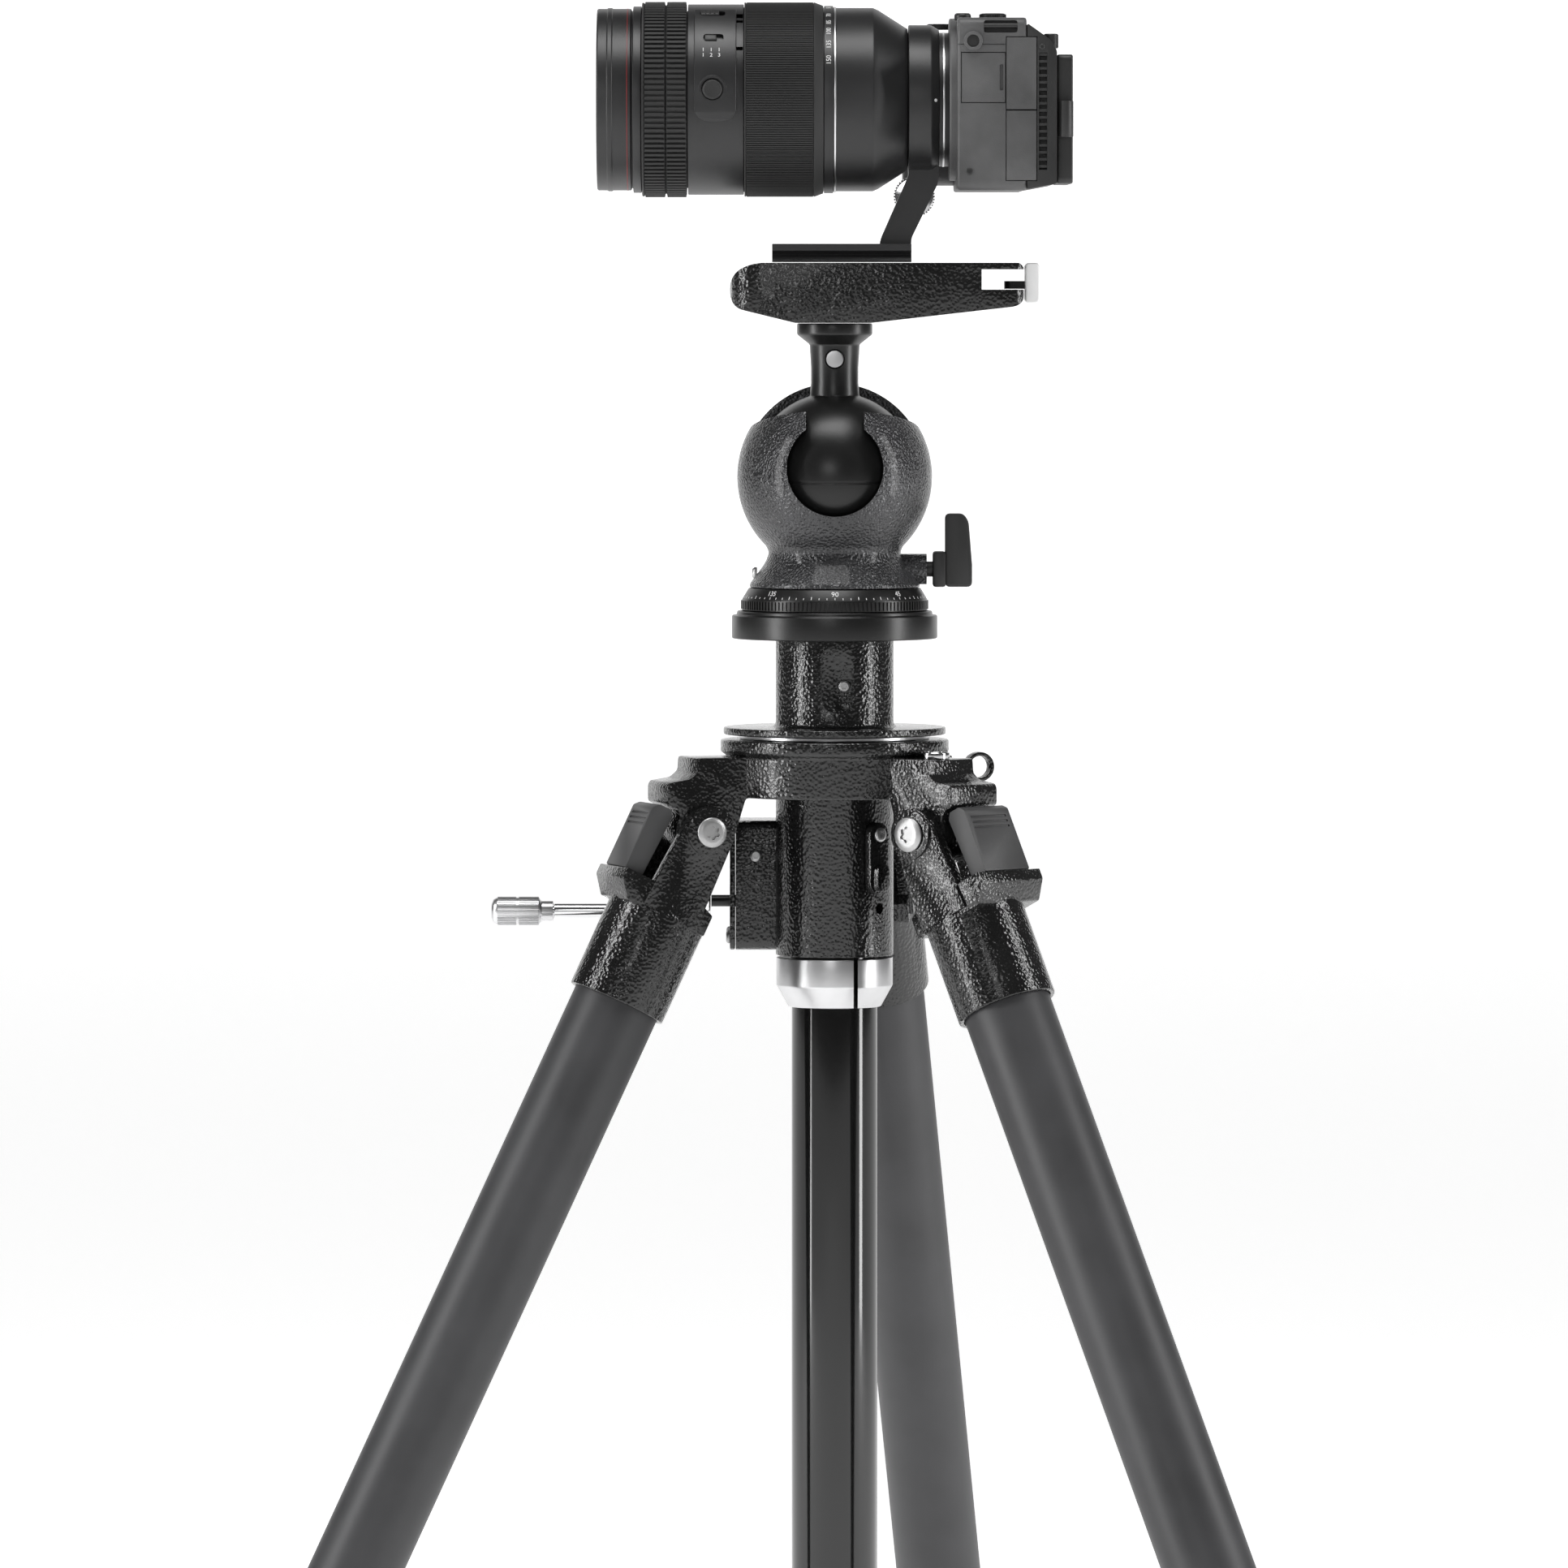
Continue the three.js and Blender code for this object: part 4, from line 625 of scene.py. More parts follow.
# %% Strap hook
HOOK_AZIMUTH, HOOK_CENTRE, HOOK_HEIGHT = 18, 69.5, 27
HOOK_RADIUS, HOOK_WIRE, HOOK_HALF = 6.8, 1.8, 3
loop = turned("strap_hook", [(HOOK_RADIUS - HOOK_WIRE, -HOOK_HALF), (HOOK_RADIUS, -HOOK_HALF),
                             (HOOK_RADIUS, HOOK_HALF), (HOOK_RADIUS - HOOK_WIRE, HOOK_HALF)], ease=0.7, sides=64)
moved(loop, Matrix.Translation((HOOK_CENTRE, 0, HOOK_HEIGHT)) @ Matrix.Rotation(math.pi / 2, 4, "X"))
hook_foot = block("foot", RIM_RADIUS + GAP - 2.4, RIM_RADIUS + GAP + 3, -HOOK_HALF - 1, HOOK_HALF + 1,
                  HOOK_HEIGHT - 5, HOOK_HEIGHT + 5.5)
hook_arm = block("neck", RIM_RADIUS + GAP, HOOK_CENTRE - HOOK_RADIUS + 1, -HOOK_HALF + 0.1, HOOK_HALF - 0.1,
                 HOOK_HEIGHT - 2, HOOK_HEIGHT + 4)
loop = together("strap_hook", loop, soften(hook_foot, 0.6), soften(hook_arm, 0.5))
done(moved(loop, turn_about(HOOK_AZIMUTH, "Z")), "stand", "hammered_black", ["strap_hook"])

# %% [markdown]
# ## One leg, three times
# All the legs are alike, so each piece is modelled once, hanging straight down
# from a hinge at the origin. It is then copied, swung out to the leg's angle, and
# turned to each azimuth.

# %% Leg sizes and placing
LEG_LENGTH, TUBE_RADIUS, TUBE_WALL = 600, 20.1, 1.7
LOCK_TOP, LOCK_BOTTOM, LOCK_WALL, SEAT = 486, 541, 4.2, 20
LOWER_TOP, LOWER_WALL = 75, 1.5
SOCKET_TOP, SOCKET_BOTTOM = 38, 87
EAR_REACH, EAR_INNER, EAR_THICK, BOSS = 11.7, TONGUE_HALF + GAP, 6.5, 1.6
EAR_OUTER = EAR_INNER + EAR_THICK
SOCKET_RADIUS = TUBE_RADIUS + GAP + 2.4
LOWER_RADIUS = TUBE_RADIUS - TUBE_WALL - GAP
TAB_INNER, TAB_OUTER, TAB_TOP, TAB_BOTTOM, TAB_HALF = 15.6, 27.6, 2, 30.5, 15
FOOT_RADIUS, FOOT_SOLE, FOOT_NECK = LOWER_RADIUS + 2.9, 2.2, 3


def leg_matrix(side):
    return (turn_about(LEG_AZIMUTHS[side], "Z") @ Matrix.Translation((HINGE_RADIUS, 0, 0))
            @ Matrix.Rotation(-math.radians(SPREAD), 4, "Y"))


def on_each_leg(pattern, body, look, node=None):
    for side in LEG_AZIMUTHS:
        twin = copied(pattern, leg_matrix(side))
        twin.name = pattern.name + "_" + side
        done(twin, body + "_" + side, look, [node + "_" + side] if node else ())
    bpy.data.objects.remove(pattern, do_unlink=True)


# %% [markdown]
# The leg's casting has two ears that straddle the crown's tongue, and a socket
# that takes the tube. The step where the ears meet the round socket is the sharp
# shoulder that catches the light.

# %% Leg casting
casting = turned("leg_casting_piece", [
    (0, -SOCKET_TOP), (SOCKET_RADIUS - 3, -SOCKET_TOP), (SOCKET_RADIUS, -SOCKET_TOP - 4),
    (SOCKET_RADIUS, -SOCKET_BOTTOM), (TUBE_RADIUS + GAP, -SOCKET_BOTTOM), (TUBE_RADIUS + GAP, -SOCKET_TOP - 6),
    (0, -SOCKET_TOP - 6),
], ease=0.9, sides=72)
web_top = -TAB_BOTTOM - GAP
web = outlined("web", [
    (-18, web_top - 3), (-10, web_top), (TAB_OUTER + 0.6, web_top), (TAB_OUTER + 0.6, web_top - 5),
    (SOCKET_RADIUS - 1, -SOCKET_TOP - 5.9), (-18, -SOCKET_TOP - 5.9),
], -EAR_OUTER + 1.5, EAR_OUTER - 1.5, ease=0.8)
ears = []
for way in (-1, 1):
    low, high = sorted((way * EAR_INNER, way * EAR_OUTER))
    ear = outlined("ear", [*arc((0, 0), EAR_REACH, 0, 180, 20), (-EAR_REACH - 1.5, -SOCKET_TOP - 4),
                           (EAR_REACH + 3, -SOCKET_TOP - 4)], low, high, ease=0.3)
    boss_end = way * (EAR_OUTER + BOSS)
    ears += [ear, rod("boss", (0, way * (EAR_OUTER - 0.5), 0), (0, boss_end, 0), EAR_REACH - 0.6, 48)]
casting = fused(casting, web, *ears)
casting = soften(casting, 0.7)
print("leg casting:", len(casting.data.polygons), "faces")
on_each_leg(casting, "leg", "hammered_black", "leg_casting")

# %% [markdown]
# The hinge bolt is a polished button head with a six-lobed socket, and a plain
# nut on the far ear.

# %% Hinge bolt
BOLT_FACE = EAR_OUTER + BOSS + GAP
bolt = torx_screw("hinge_bolt_piece", 7.9, 2.0, sides=48)
moved(bolt, pointing((0, -1, 0), (0, -BOLT_FACE, 0)))
far_head = moved(torx_screw("far", 6.9, 2.0), pointing((0, 1, 0), (0, BOLT_FACE, 0)))
shank = rod("shank", (0, -BOLT_FACE - 0.3, 0), (0, BOLT_FACE + 0.3, 0), 4)
on_each_leg(together("hinge_bolt_piece", bolt, far_head, shank), "leg", "bolt_steel", "hinge_bolt")

# %% [markdown]
# The grey tab slides out to free the leg's angle stop. It is a moulded block with
# a grip along its upper edge.

# %% Angle tab
tab = outlined("angle_tab_piece", [
    (TAB_INNER + 1.5, TAB_TOP - 3), (TAB_INNER + 3.5, TAB_TOP), (TAB_OUTER - 2.5, TAB_TOP),
    (TAB_OUTER, TAB_TOP - 2.5), (TAB_OUTER, -TAB_BOTTOM), (TAB_INNER + 3, -TAB_BOTTOM),
], -TAB_HALF, TAB_HALF, ease=0.8)
tab = drilled(tab, *[block("grip", TAB_OUTER - 0.7, TAB_OUTER + 2, -TAB_HALF + 3, TAB_HALF - 3, height, height + 1)
                     for height in (-4.5, -7, -9.5)])
tab = soften(tab, 0.35)
on_each_leg(tab, "tab", "grey_plastic", "angle_tab")

# %% [markdown]
# The tubes are plain pipes. The lock between them is a rubber grip with wide
# ribs, and the foot is a rubber ball, flat where it stands.

# %% Tubes, twist lock and foot
upper = turned("leg_upper_piece", [
    (TUBE_RADIUS - TUBE_WALL, -LOCK_TOP - SEAT + GAP), (TUBE_RADIUS, -LOCK_TOP - SEAT + GAP),
    (TUBE_RADIUS, -SOCKET_TOP - 6 - GAP), (TUBE_RADIUS - TUBE_WALL, -SOCKET_TOP - 6 - GAP)], ease=0.3)
on_each_leg(upper, "leg", "carbon", "leg_upper_tube")

lock_outer = TUBE_RADIUS + LOCK_WALL
lock = turned("twist_lock_piece", [
    (TUBE_RADIUS + GAP, -LOCK_TOP), (lock_outer - 1, -LOCK_TOP), (lock_outer - 1, -LOCK_BOTTOM + 4),
    (lock_outer - 2.4, -LOCK_BOTTOM), (LOWER_RADIUS + GAP, -LOCK_BOTTOM),
    (LOWER_RADIUS + GAP, -LOCK_TOP - SEAT), (TUBE_RADIUS + GAP, -LOCK_TOP - SEAT)], ease=0.6)
rib = soften(block("rib", lock_outer - 1.6, lock_outer, -1.5, 1.5, -LOCK_BOTTOM + 8, -LOCK_TOP - 5), 0.4)
ribs = around(rib, 30, "Z")
on_each_leg(together("twist_lock_piece", lock, ribs), "lock", "rubber", "twist_lock")

floor_drop = LEG_LENGTH * math.cos(math.radians(SPREAD))
foot_centre = (floor_drop - FOOT_RADIUS + FOOT_SOLE) / math.cos(math.radians(SPREAD))
foot_top = foot_centre - FOOT_RADIUS - FOOT_NECK
lower = turned("leg_lower_piece", [
    (LOWER_RADIUS - LOWER_WALL, -foot_top - SEAT + GAP), (LOWER_RADIUS, -foot_top - SEAT + GAP),
    (LOWER_RADIUS, -LOWER_TOP), (LOWER_RADIUS - LOWER_WALL, -LOWER_TOP)], ease=0.3)
on_each_leg(lower, "lower_leg", "carbon", "leg_lower_tube")

deselect()
bpy.ops.mesh.primitive_uv_sphere_add(segments=48, ring_count=24, radius=FOOT_RADIUS - 0.6, location=(0, 0, -foot_centre))
foot = bpy.context.object
foot.name = "foot_piece"
bpy.ops.object.transform_apply(location=True, rotation=True, scale=True)
foot_collar = rod("collar", (0, 0, -foot_centre), (0, 0, -foot_top), LOWER_RADIUS + GAP + 2.6)
foot = fused(foot, foot_collar)
foot = drilled(foot, rod("bore", (0, 0, -foot_top - SEAT), (0, 0, -foot_top + 30), LOWER_RADIUS + GAP))
ground = block("ground", 0, LEG_LENGTH, -60, 60, -60, 0)
moved(ground, Matrix.Rotation(math.radians(SPREAD), 4, "Y") @ Matrix.Translation((0, 0, -floor_drop)))
foot = soften(drilled(foot, ground), 0.6)
print("foot:", len(foot.data.polygons), "faces")
on_each_leg(foot, "lower_leg", "rubber", "foot")
# %% [markdown]
# ## The geared column
# The column is a polished tube with a rack cut in its back. We turn the tube, fuse
# a bar inside its wall, mill a flat along it, and cut every tooth gap at once by
# joining all the cutters into one tool.

# %% Column tube and rack
COLUMN_RADIUS, COLUMN_WALL, COLUMN_BOTTOM, COLUMN_TOP = 19.6, 2.2, -372, 75.5
RACK_PITCH, RACK_TOP, RACK_BOTTOM, RACK_HALF = math.pi * 1.5, -16, -300, 4.5
RACK_TIP, RACK_ROOT, PINION_Y, PINION_Z = 19.0, 15.925, 26.95, -34.9
tube = turned("column_tube", [
    (COLUMN_RADIUS - COLUMN_WALL, COLUMN_BOTTOM), (COLUMN_RADIUS, COLUMN_BOTTOM),
    (COLUMN_RADIUS, COLUMN_TOP), (COLUMN_RADIUS - COLUMN_WALL, COLUMN_TOP)], ease=0.3, sides=128)
bar = block("bar", -RACK_HALF - 1.5, RACK_HALF + 1.5, RACK_ROOT - 3, COLUMN_RADIUS - COLUMN_WALL + 0.4,
            RACK_BOTTOM - 4, RACK_TOP + 4)
flat = block("flat", -RACK_HALF - 0.5, RACK_HALF + 0.5, RACK_TIP, COLUMN_RADIUS + 2, RACK_BOTTOM, RACK_TOP)
gap = outlined("gap", [(RACK_TIP + 0.5, -1.7), (RACK_TIP + 0.5, 1.7), (RACK_ROOT, 0.5), (RACK_ROOT, -0.5)],
               -RACK_HALF, RACK_HALF, along="X", ease=0)
first_gap = math.ceil((RACK_BOTTOM + 1 - PINION_Z) / RACK_PITCH)
last_gap = math.floor((RACK_TOP - 1 - PINION_Z) / RACK_PITCH)
gaps = [copied(gap, Matrix.Translation((0, 0, PINION_Z + index * RACK_PITCH)))
        for index in range(first_gap, last_gap + 1)]
bpy.data.objects.remove(gap, do_unlink=True)
tube = drilled(fused(tube, bar), flat, together("cutter", *gaps))
done(tube, "column", "gloss_black", ["column_tube"])
end_cap = turned("column_end_cap", [
    (0, COLUMN_BOTTOM - 3.4), (COLUMN_RADIUS - 1, COLUMN_BOTTOM - 3.4), (COLUMN_RADIUS, COLUMN_BOTTOM - 2),
    (COLUMN_RADIUS, COLUMN_BOTTOM - GAP), (16.9, COLUMN_BOTTOM - GAP), (16.9, COLUMN_BOTTOM + 6),
    (0, COLUMN_BOTTOM + 6)], ease=0.6)
done(end_cap, "column", "rubber")
print("rack gaps:", last_gap - first_gap + 1)

# %% [markdown]
# The sleeve guides the column, and its gear housing is cast on its back. It is
# bored after the housing is joined on, so that the bore runs clean through both.

# %% Sleeve and gear housing
SLEEVE_RADIUS, SLEEVE_BOTTOM, SLEEVE_FLANGE, FLANGE_TOP = 26.9, -58.1, 43.5, 42.6
BOX_LEFT, BOX_RIGHT, BOX_FRONT, BOX_BACK, BOX_TOP, BOX_BOTTOM = -45.2, 10.5, 3, 40.5, 3, -56.3
BORE = COLUMN_RADIUS + GAP
plug = CROWN_BORE - GAP
sleeve = turned("column_sleeve", [
    (0, SLEEVE_BOTTOM), (SLEEVE_RADIUS, SLEEVE_BOTTOM), (SLEEVE_RADIUS, 20), (plug, 20),
    (plug, CROWN_TOP + GAP - 0.05), (0, CROWN_TOP + GAP - 0.05)], ease=0.8)
gear_box = outlined("gear_box", box_corners(BOX_FRONT, BOX_BACK, BOX_BOTTOM, BOX_TOP), BOX_LEFT, BOX_RIGHT,
                    along="X", ease=5, steps=5)
sleeve = fused(sleeve, gear_box)
HOLE_AZIMUTH, HOLE_HEIGHT = -40.6, -36
hole = rod("hole", (21.5, 0, HOLE_HEIGHT), (30, 0, HOLE_HEIGHT), 2.5)
moved(hole, turn_about(HOLE_AZIMUTH, "Z"))
sleeve = drilled(sleeve, rod("bore", (0, 0, SLEEVE_BOTTOM - 1), (0, 0, 60), BORE, 128),
                 rod("room", (BOX_LEFT - 1, PINION_Y, PINION_Z), (6, PINION_Y, PINION_Z), 11), hole)
sleeve = soften(sleeve, 0.8)
done(sleeve, "stand", "hammered_black", ["column_sleeve"])
bright_ring = turned("sleeve_flange", [
    (BORE, CROWN_TOP + GAP), (SLEEVE_FLANGE, CROWN_TOP + GAP), (SLEEVE_FLANGE, FLANGE_TOP), (BORE, FLANGE_TOP)],
    ease=0.3)
done(bright_ring, "stand", "aluminium")

# %% [markdown]
# A flat cover closes the housing. Its four screws stand proud of it, and one more
# screw in the front face clamps the sleeve.

# %% Cover and screws
COVER_BACK, COVER_FRONT = BOX_LEFT - GAP, BOX_LEFT - GAP - 2.4
cover = outlined("gearbox_cover", box_corners(BOX_FRONT, BOX_BACK, BOX_BOTTOM, BOX_TOP), COVER_FRONT, COVER_BACK,
                 along="X", ease=5, steps=5)
cover = drilled(cover, rod("hole", (BOX_LEFT - 5, PINION_Y, PINION_Z), (BOX_LEFT + 1, PINION_Y, PINION_Z), 3))
done(soften(cover, 0.6), "stand", "hammered_black", ["gearbox_cover"])
screws = []
for y in (BOX_FRONT + 5, BOX_BACK - 5):
    for z in (BOX_BOTTOM + 6, BOX_TOP - 6):
        screws.append(moved(torx_screw("screw", 3.1, 1.7), pointing((-1, 0, 0), (COVER_FRONT, y, z))))
screws.append(moved(torx_screw("screw", 2.7, 1.5), pointing((0, -1, 0), (-36, BOX_FRONT, -13))))
done(together("gearbox_screws", *screws), "stand", "bolt_steel")

# %% [markdown]
# The collar below the sleeve grips the column. It is bright metal with a slit, so
# that a screw can close it.

# %% Collet collar
COLLET_TOP, COLLET_CONE, COLLET_BOTTOM, COLLET_RADIUS = -59.1, -71.8, -81.6, 26.6
collet = turned("collet_collar", [
    (BORE, COLLET_BOTTOM), (21.2, COLLET_BOTTOM), (COLLET_RADIUS, COLLET_CONE), (COLLET_RADIUS, COLLET_TOP),
    (BORE, COLLET_TOP)], ease=0.5, sides=128)
collet = drilled(collet, block("slit", 8.6, 10.5, -COLLET_RADIUS - 1, 0, COLLET_BOTTOM - 1, COLLET_TOP + 1))
done(collet, "stand", "aluminium", ["collet_collar"])

# %% [markdown]
# The brake lever is a small flat arm with a thicker grip, on a screw in the side
# of the sleeve. It is drawn facing +X and then turned to its place.

# %% Brake lever
BRAKE_AZIMUTH, BRAKE_HEIGHT, BRAKE_LENGTH, BRAKE_HALF = -49, -2, 22, 5.5
brake_face = SLEEVE_RADIUS + GAP
brake = outlined("column_lock_lever", [
    *arc((0, 0), BRAKE_HALF, 0, 180, 14), *arc((0, -BRAKE_LENGTH), BRAKE_HALF, 180, 360, 14)],
    brake_face, brake_face + 4, along="X", ease=0)
grip = outlined("grip", box_corners(-3.6, 3.6, -BRAKE_LENGTH - 3.6, -BRAKE_LENGTH + 8), brake_face + 1,
                brake_face + 7, along="X", ease=3)
brake = soften(fused(brake, grip), 0.7)
brake_screw = moved(torx_screw("screw", 3.3, 1.6), pointing((1, 0, 0), (brake_face + 4, 0, 0)))
to_brake = turn_about(BRAKE_AZIMUTH, "Z") @ Matrix.Translation((0, 0, BRAKE_HEIGHT))
done(moved(brake, to_brake), "brake_lever", "hammered_black", ["column_lock_lever"])
brake_screw.name = "brake_screw"
done(moved(brake_screw, to_brake), "brake_lever", "bolt_steel")

# %% [markdown]
# ## The crank
# The pinion's outline is twelve tapered teeth. One tooth points at the column, so
# that it stands in a gap of the rack.

# %% Pinion and shaft
teeth = []
for tooth in range(12):
    for radius, turn in ((7.3, -9), (10.3, -3.2), (10.3, 3.2), (7.3, 9)):
        angle = math.radians(30 * tooth + turn)
        teeth.append((PINION_Y + radius * math.cos(angle), PINION_Z + radius * math.sin(angle)))
pinion = outlined("pinion", teeth, -RACK_HALF, RACK_HALF, along="X", ease=0)
shaft = rod("shaft", (-56.5, PINION_Y, PINION_Z), (10, PINION_Y, PINION_Z), 2.7)
done(together("pinion_shaft", pinion, shaft), "crank", "satin_black", ["pinion_shaft"])

# %% [markdown]
# The crank's arm hangs a little below level. Its long polished rod carries the
# knob clear of the legs.

# %% Crank arm and rod
ARM_REACH, ARM_DROOP, ARM_BACK, ARM_FRONT = 22, 15.6, -56.8, -63.8
KNOB_START, KNOB_END = -129.5, -158
tip_y = PINION_Y + ARM_REACH * math.cos(math.radians(ARM_DROOP))
tip_z = PINION_Z - ARM_REACH * math.sin(math.radians(ARM_DROOP))
arm = outlined("arm", [*arc((0, 0), 7, 90, 270, 16), *arc((ARM_REACH, 0), 4.6, -90, 90, 14)], ARM_FRONT, ARM_BACK,
               along="X", ease=0)
arm = soften(arm, 0.9)
hub_screw = moved(torx_screw("screw", 4.6, 1.0), pointing((-1, 0, 0), (ARM_FRONT, 0, 0)))
arm = together("arm", arm, hub_screw)
moved(arm, Matrix.Translation((0, PINION_Y, PINION_Z)) @ Matrix.Rotation(-math.radians(ARM_DROOP), 4, "X"))
crank_rod = turned("rod", [(0, KNOB_START + GAP), (3.4, KNOB_START + GAP), (3.4, ARM_FRONT + 1), (0, ARM_FRONT + 1)],
                   ease=0.5, sides=48, along="X", height=tip_z)
crank_pin = turned("pin", [(0, -150), (2.2, -150), (2.2, KNOB_START + 2), (0, KNOB_START + 2)], ease=0.3, sides=32,
                   along="X", height=tip_z)
for bar in (crank_rod, crank_pin):
    moved(bar, Matrix.Translation((0, tip_y, 0)))
done(together("crank_arm", arm, crank_rod, crank_pin), "crank", "chrome", ["crank_arm"])

# %% [markdown]
# The knob turns freely on its pin. Two knurled bands are made from many narrow
# ribs, with a plain groove between them.

# %% Crank knob
knob = turned("crank_knob", [
    (0, KNOB_END), (3.6, KNOB_END), (5.5, KNOB_END + 1), (6.2, KNOB_END + 2.6), (6.2, KNOB_START - 6.5),
    (4.6, KNOB_START - 5.5), (4.6, KNOB_START), (2.5, KNOB_START), (2.5, -151), (0, -151)],
    ease=0.4, sides=64, along="X", height=tip_z)
ribs = []
for start, end in ((KNOB_END + 2.8, -146.6), (-145.4, KNOB_START - 6.7)):
    rib = block("rib", start, end, -0.2, 0.2, tip_z + 5.9, tip_z + 6.55)
    ribs.append(around(rib, 40, "X", (0, 0, tip_z)))
knob = together("crank_knob", knob, *ribs)
done(moved(knob, Matrix.Translation((0, tip_y, 0))), "crank_knob", "aluminium", ["crank_knob"])

# %% [markdown]
# ## The column's head
# The neck clamps on the column. A rounded window in its front shows the clamping
# screw, with a deeper pocket inside it.

# %% Neck and flange
NECK_RADIUS, DISC_RADIUS, DISC_TOP, NECK_TOP = 27, 50.8, 46.3, 86.3
neck = turned("column_neck", [
    (0, COLUMN_TOP + GAP), (BORE, COLUMN_TOP + GAP), (BORE, FLANGE_TOP + GAP), (DISC_RADIUS, FLANGE_TOP + GAP),
    (DISC_RADIUS, DISC_TOP), (NECK_RADIUS + 1.5, DISC_TOP), (NECK_RADIUS, DISC_TOP + 1.5), (NECK_RADIUS, NECK_TOP),
    (0, NECK_TOP)], ease=0.9, sides=128)
window = outlined("window", box_corners(-6, 8.5, DISC_TOP + 7.5, DISC_TOP + 32), -34, -NECK_RADIUS + 2.2, ease=6.5,
                  steps=6)
pocket = outlined("pocket", box_corners(-0.8, 8, DISC_TOP + 8.5, DISC_TOP + 28), -34, -NECK_RADIUS + 4.6, ease=4,
                  steps=5)
neck = soften(drilled(neck, window, pocket), 0.6)
done(neck, "column", "hammered_black", ["column_neck"])
clamp_screw = moved(torx_screw("neck_screw", 2.9, 1.6), pointing((0, -1, 0), (4.2, -NECK_RADIUS + 4.6, 65.4)))
done(clamp_screw, "column", "bolt_steel")
FLANGE_RADIUS, FLANGE_EDGE, STEP_RADIUS, STEP_TOP = 46.9, 97.4, 44.6, 99.3
flange = turned("head_flange", [
    (0, NECK_TOP + GAP), (FLANGE_RADIUS, NECK_TOP + GAP), (FLANGE_RADIUS, FLANGE_EDGE), (STEP_RADIUS, FLANGE_EDGE),
    (STEP_RADIUS, STEP_TOP), (0, STEP_TOP)], ease=0.9, sides=128)
done(flange, "column", "satin_black", ["head_flange"])

# %% [markdown]
# The scale ring has a knurled foot and a sloping face with a mark every five
# degrees. Each mark and number is laid on the slope: its up direction climbs the
# cone, and its face looks straight out of it.

# %% Pan scale
PAN_RADIUS, PAN_KNURL, PAN_TOP_RADIUS, PAN_TOP = 42.8, 104.4, 39.2, 109.6
pan = turned("pan_scale_ring", [
    (0, STEP_TOP + GAP), (PAN_RADIUS - 0.5, STEP_TOP + GAP), (PAN_RADIUS - 0.5, PAN_KNURL),
    (PAN_TOP_RADIUS + 2.9, PAN_KNURL + 0.4), (PAN_TOP_RADIUS, PAN_TOP), (0, PAN_TOP)], ease=0.3, sides=128)
knurl = block("knurl", PAN_RADIUS - 0.9, PAN_RADIUS, -0.42, 0.42, STEP_TOP + 0.8, PAN_KNURL - 0.4)
pan = together("pan_scale_ring", pan, around(knurl, 130, "Z"))
done(pan, "column", "satin_black", ["pan_scale_ring"])


def lettered(text, size):
    """A number as a thin plate facing +Z, its middle at the origin."""
    deselect()
    bpy.ops.object.text_add()
    label = bpy.context.object
    label.data.body = text
    label.data.size = size
    label.data.align_x = "CENTER"
    label.data.align_y = "CENTER"
    label.data.extrude = 0.04
    label.data.resolution_u = 3
    bpy.ops.object.convert(target="MESH")
    label = bpy.context.object
    bpy.ops.object.mode_set(mode="EDIT")
    tidy_mesh()
    return label


def laid(up, out, place):
    """The move that stands a +Z plate on a surface, given its up and outward directions."""
    up, out = Vector(up).normalized(), Vector(out).normalized()
    across = up.cross(out)
    return Matrix.Translation(place) @ Matrix((across, up, out)).transposed().to_4x4()


slope = Vector((PAN_TOP_RADIUS - (PAN_TOP_RADIUS + 2.9), 0, PAN_TOP - PAN_KNURL - 0.4)).normalized()
slope_out = Vector((slope.z, 0, -slope.x))
slope_middle = Vector((PAN_TOP_RADIUS + 1.45, 0, (PAN_KNURL + 0.4 + PAN_TOP) / 2))
on_slope = laid(slope, slope_out, slope_middle)
marks = []
for degrees in range(0, 360, 5):
    long_mark = degrees % 45 == 0
    length = 1.0 if long_mark else (1.5 if degrees % 15 == 0 else 0.9)
    mark = block("mark", -0.16, 0.16, -2.3, -2.3 + length, -0.04, 0.05)
    marks.append(moved(mark, turn_about(degrees, "Z") @ on_slope))
for label, azimuth in (("135", -135), ("90", -90), ("45", -45), ("0", 0), ("45", 45), ("90", 90), ("135", 135)):
    marks.append(moved(lettered(label, 3.4), turn_about(azimuth, "Z") @ on_slope @ Matrix.Translation((0, 0.5, 0))))
done(together("pan_marks", *marks), "column", "mark_white")
print("pan marks:", len(marks))
# %% [markdown]
# ## The ball head
# The housing is a hollow ball on a flared foot. The front of the shell is cut down
# to a sloping rim, and a keyhole in the middle lets the stem swing forward. The
# cutters are simple: a sphere, a tilted block, a rod and a slot.

# %% Ball housing
BALL_CENTRE, BALL_RADIUS, SHELL_RADIUS = 160.4, 38.4, 44.5
WAIST_RADIUS, WAIST = 30, 125.9
NOTCH_RADIUS, NOTCH_CENTRE, NOTCH_HALF = 21.9, BALL_CENTRE + 4.4, 13.2
RIM_HEIGHT, RIM_SLOPE, BACK_WALL = 22.2, 0.253, 13.5
BOSS_END, BOSS_RADIUS, BOSS_HEIGHT = 42, 7, 118.2
shell_start = -math.degrees(math.acos((WAIST_RADIUS + 1.2) / SHELL_RADIUS))
shell_curve = arc((0, BALL_CENTRE), SHELL_RADIUS, shell_start, 90, 44)
housing = turned("ball_housing", [
    (0, HOUSING_FOOT), (38.9, HOUSING_FOOT), (38.7, HOUSING_FOOT + 1.8), (34.6, HOUSING_FOOT + 7.2),
    (31.6, HOUSING_FOOT + 11.5), (WAIST_RADIUS, WAIST), *shell_curve[:-1], (0, shell_curve[-1][1])],
    ease=1.2, sides=112)
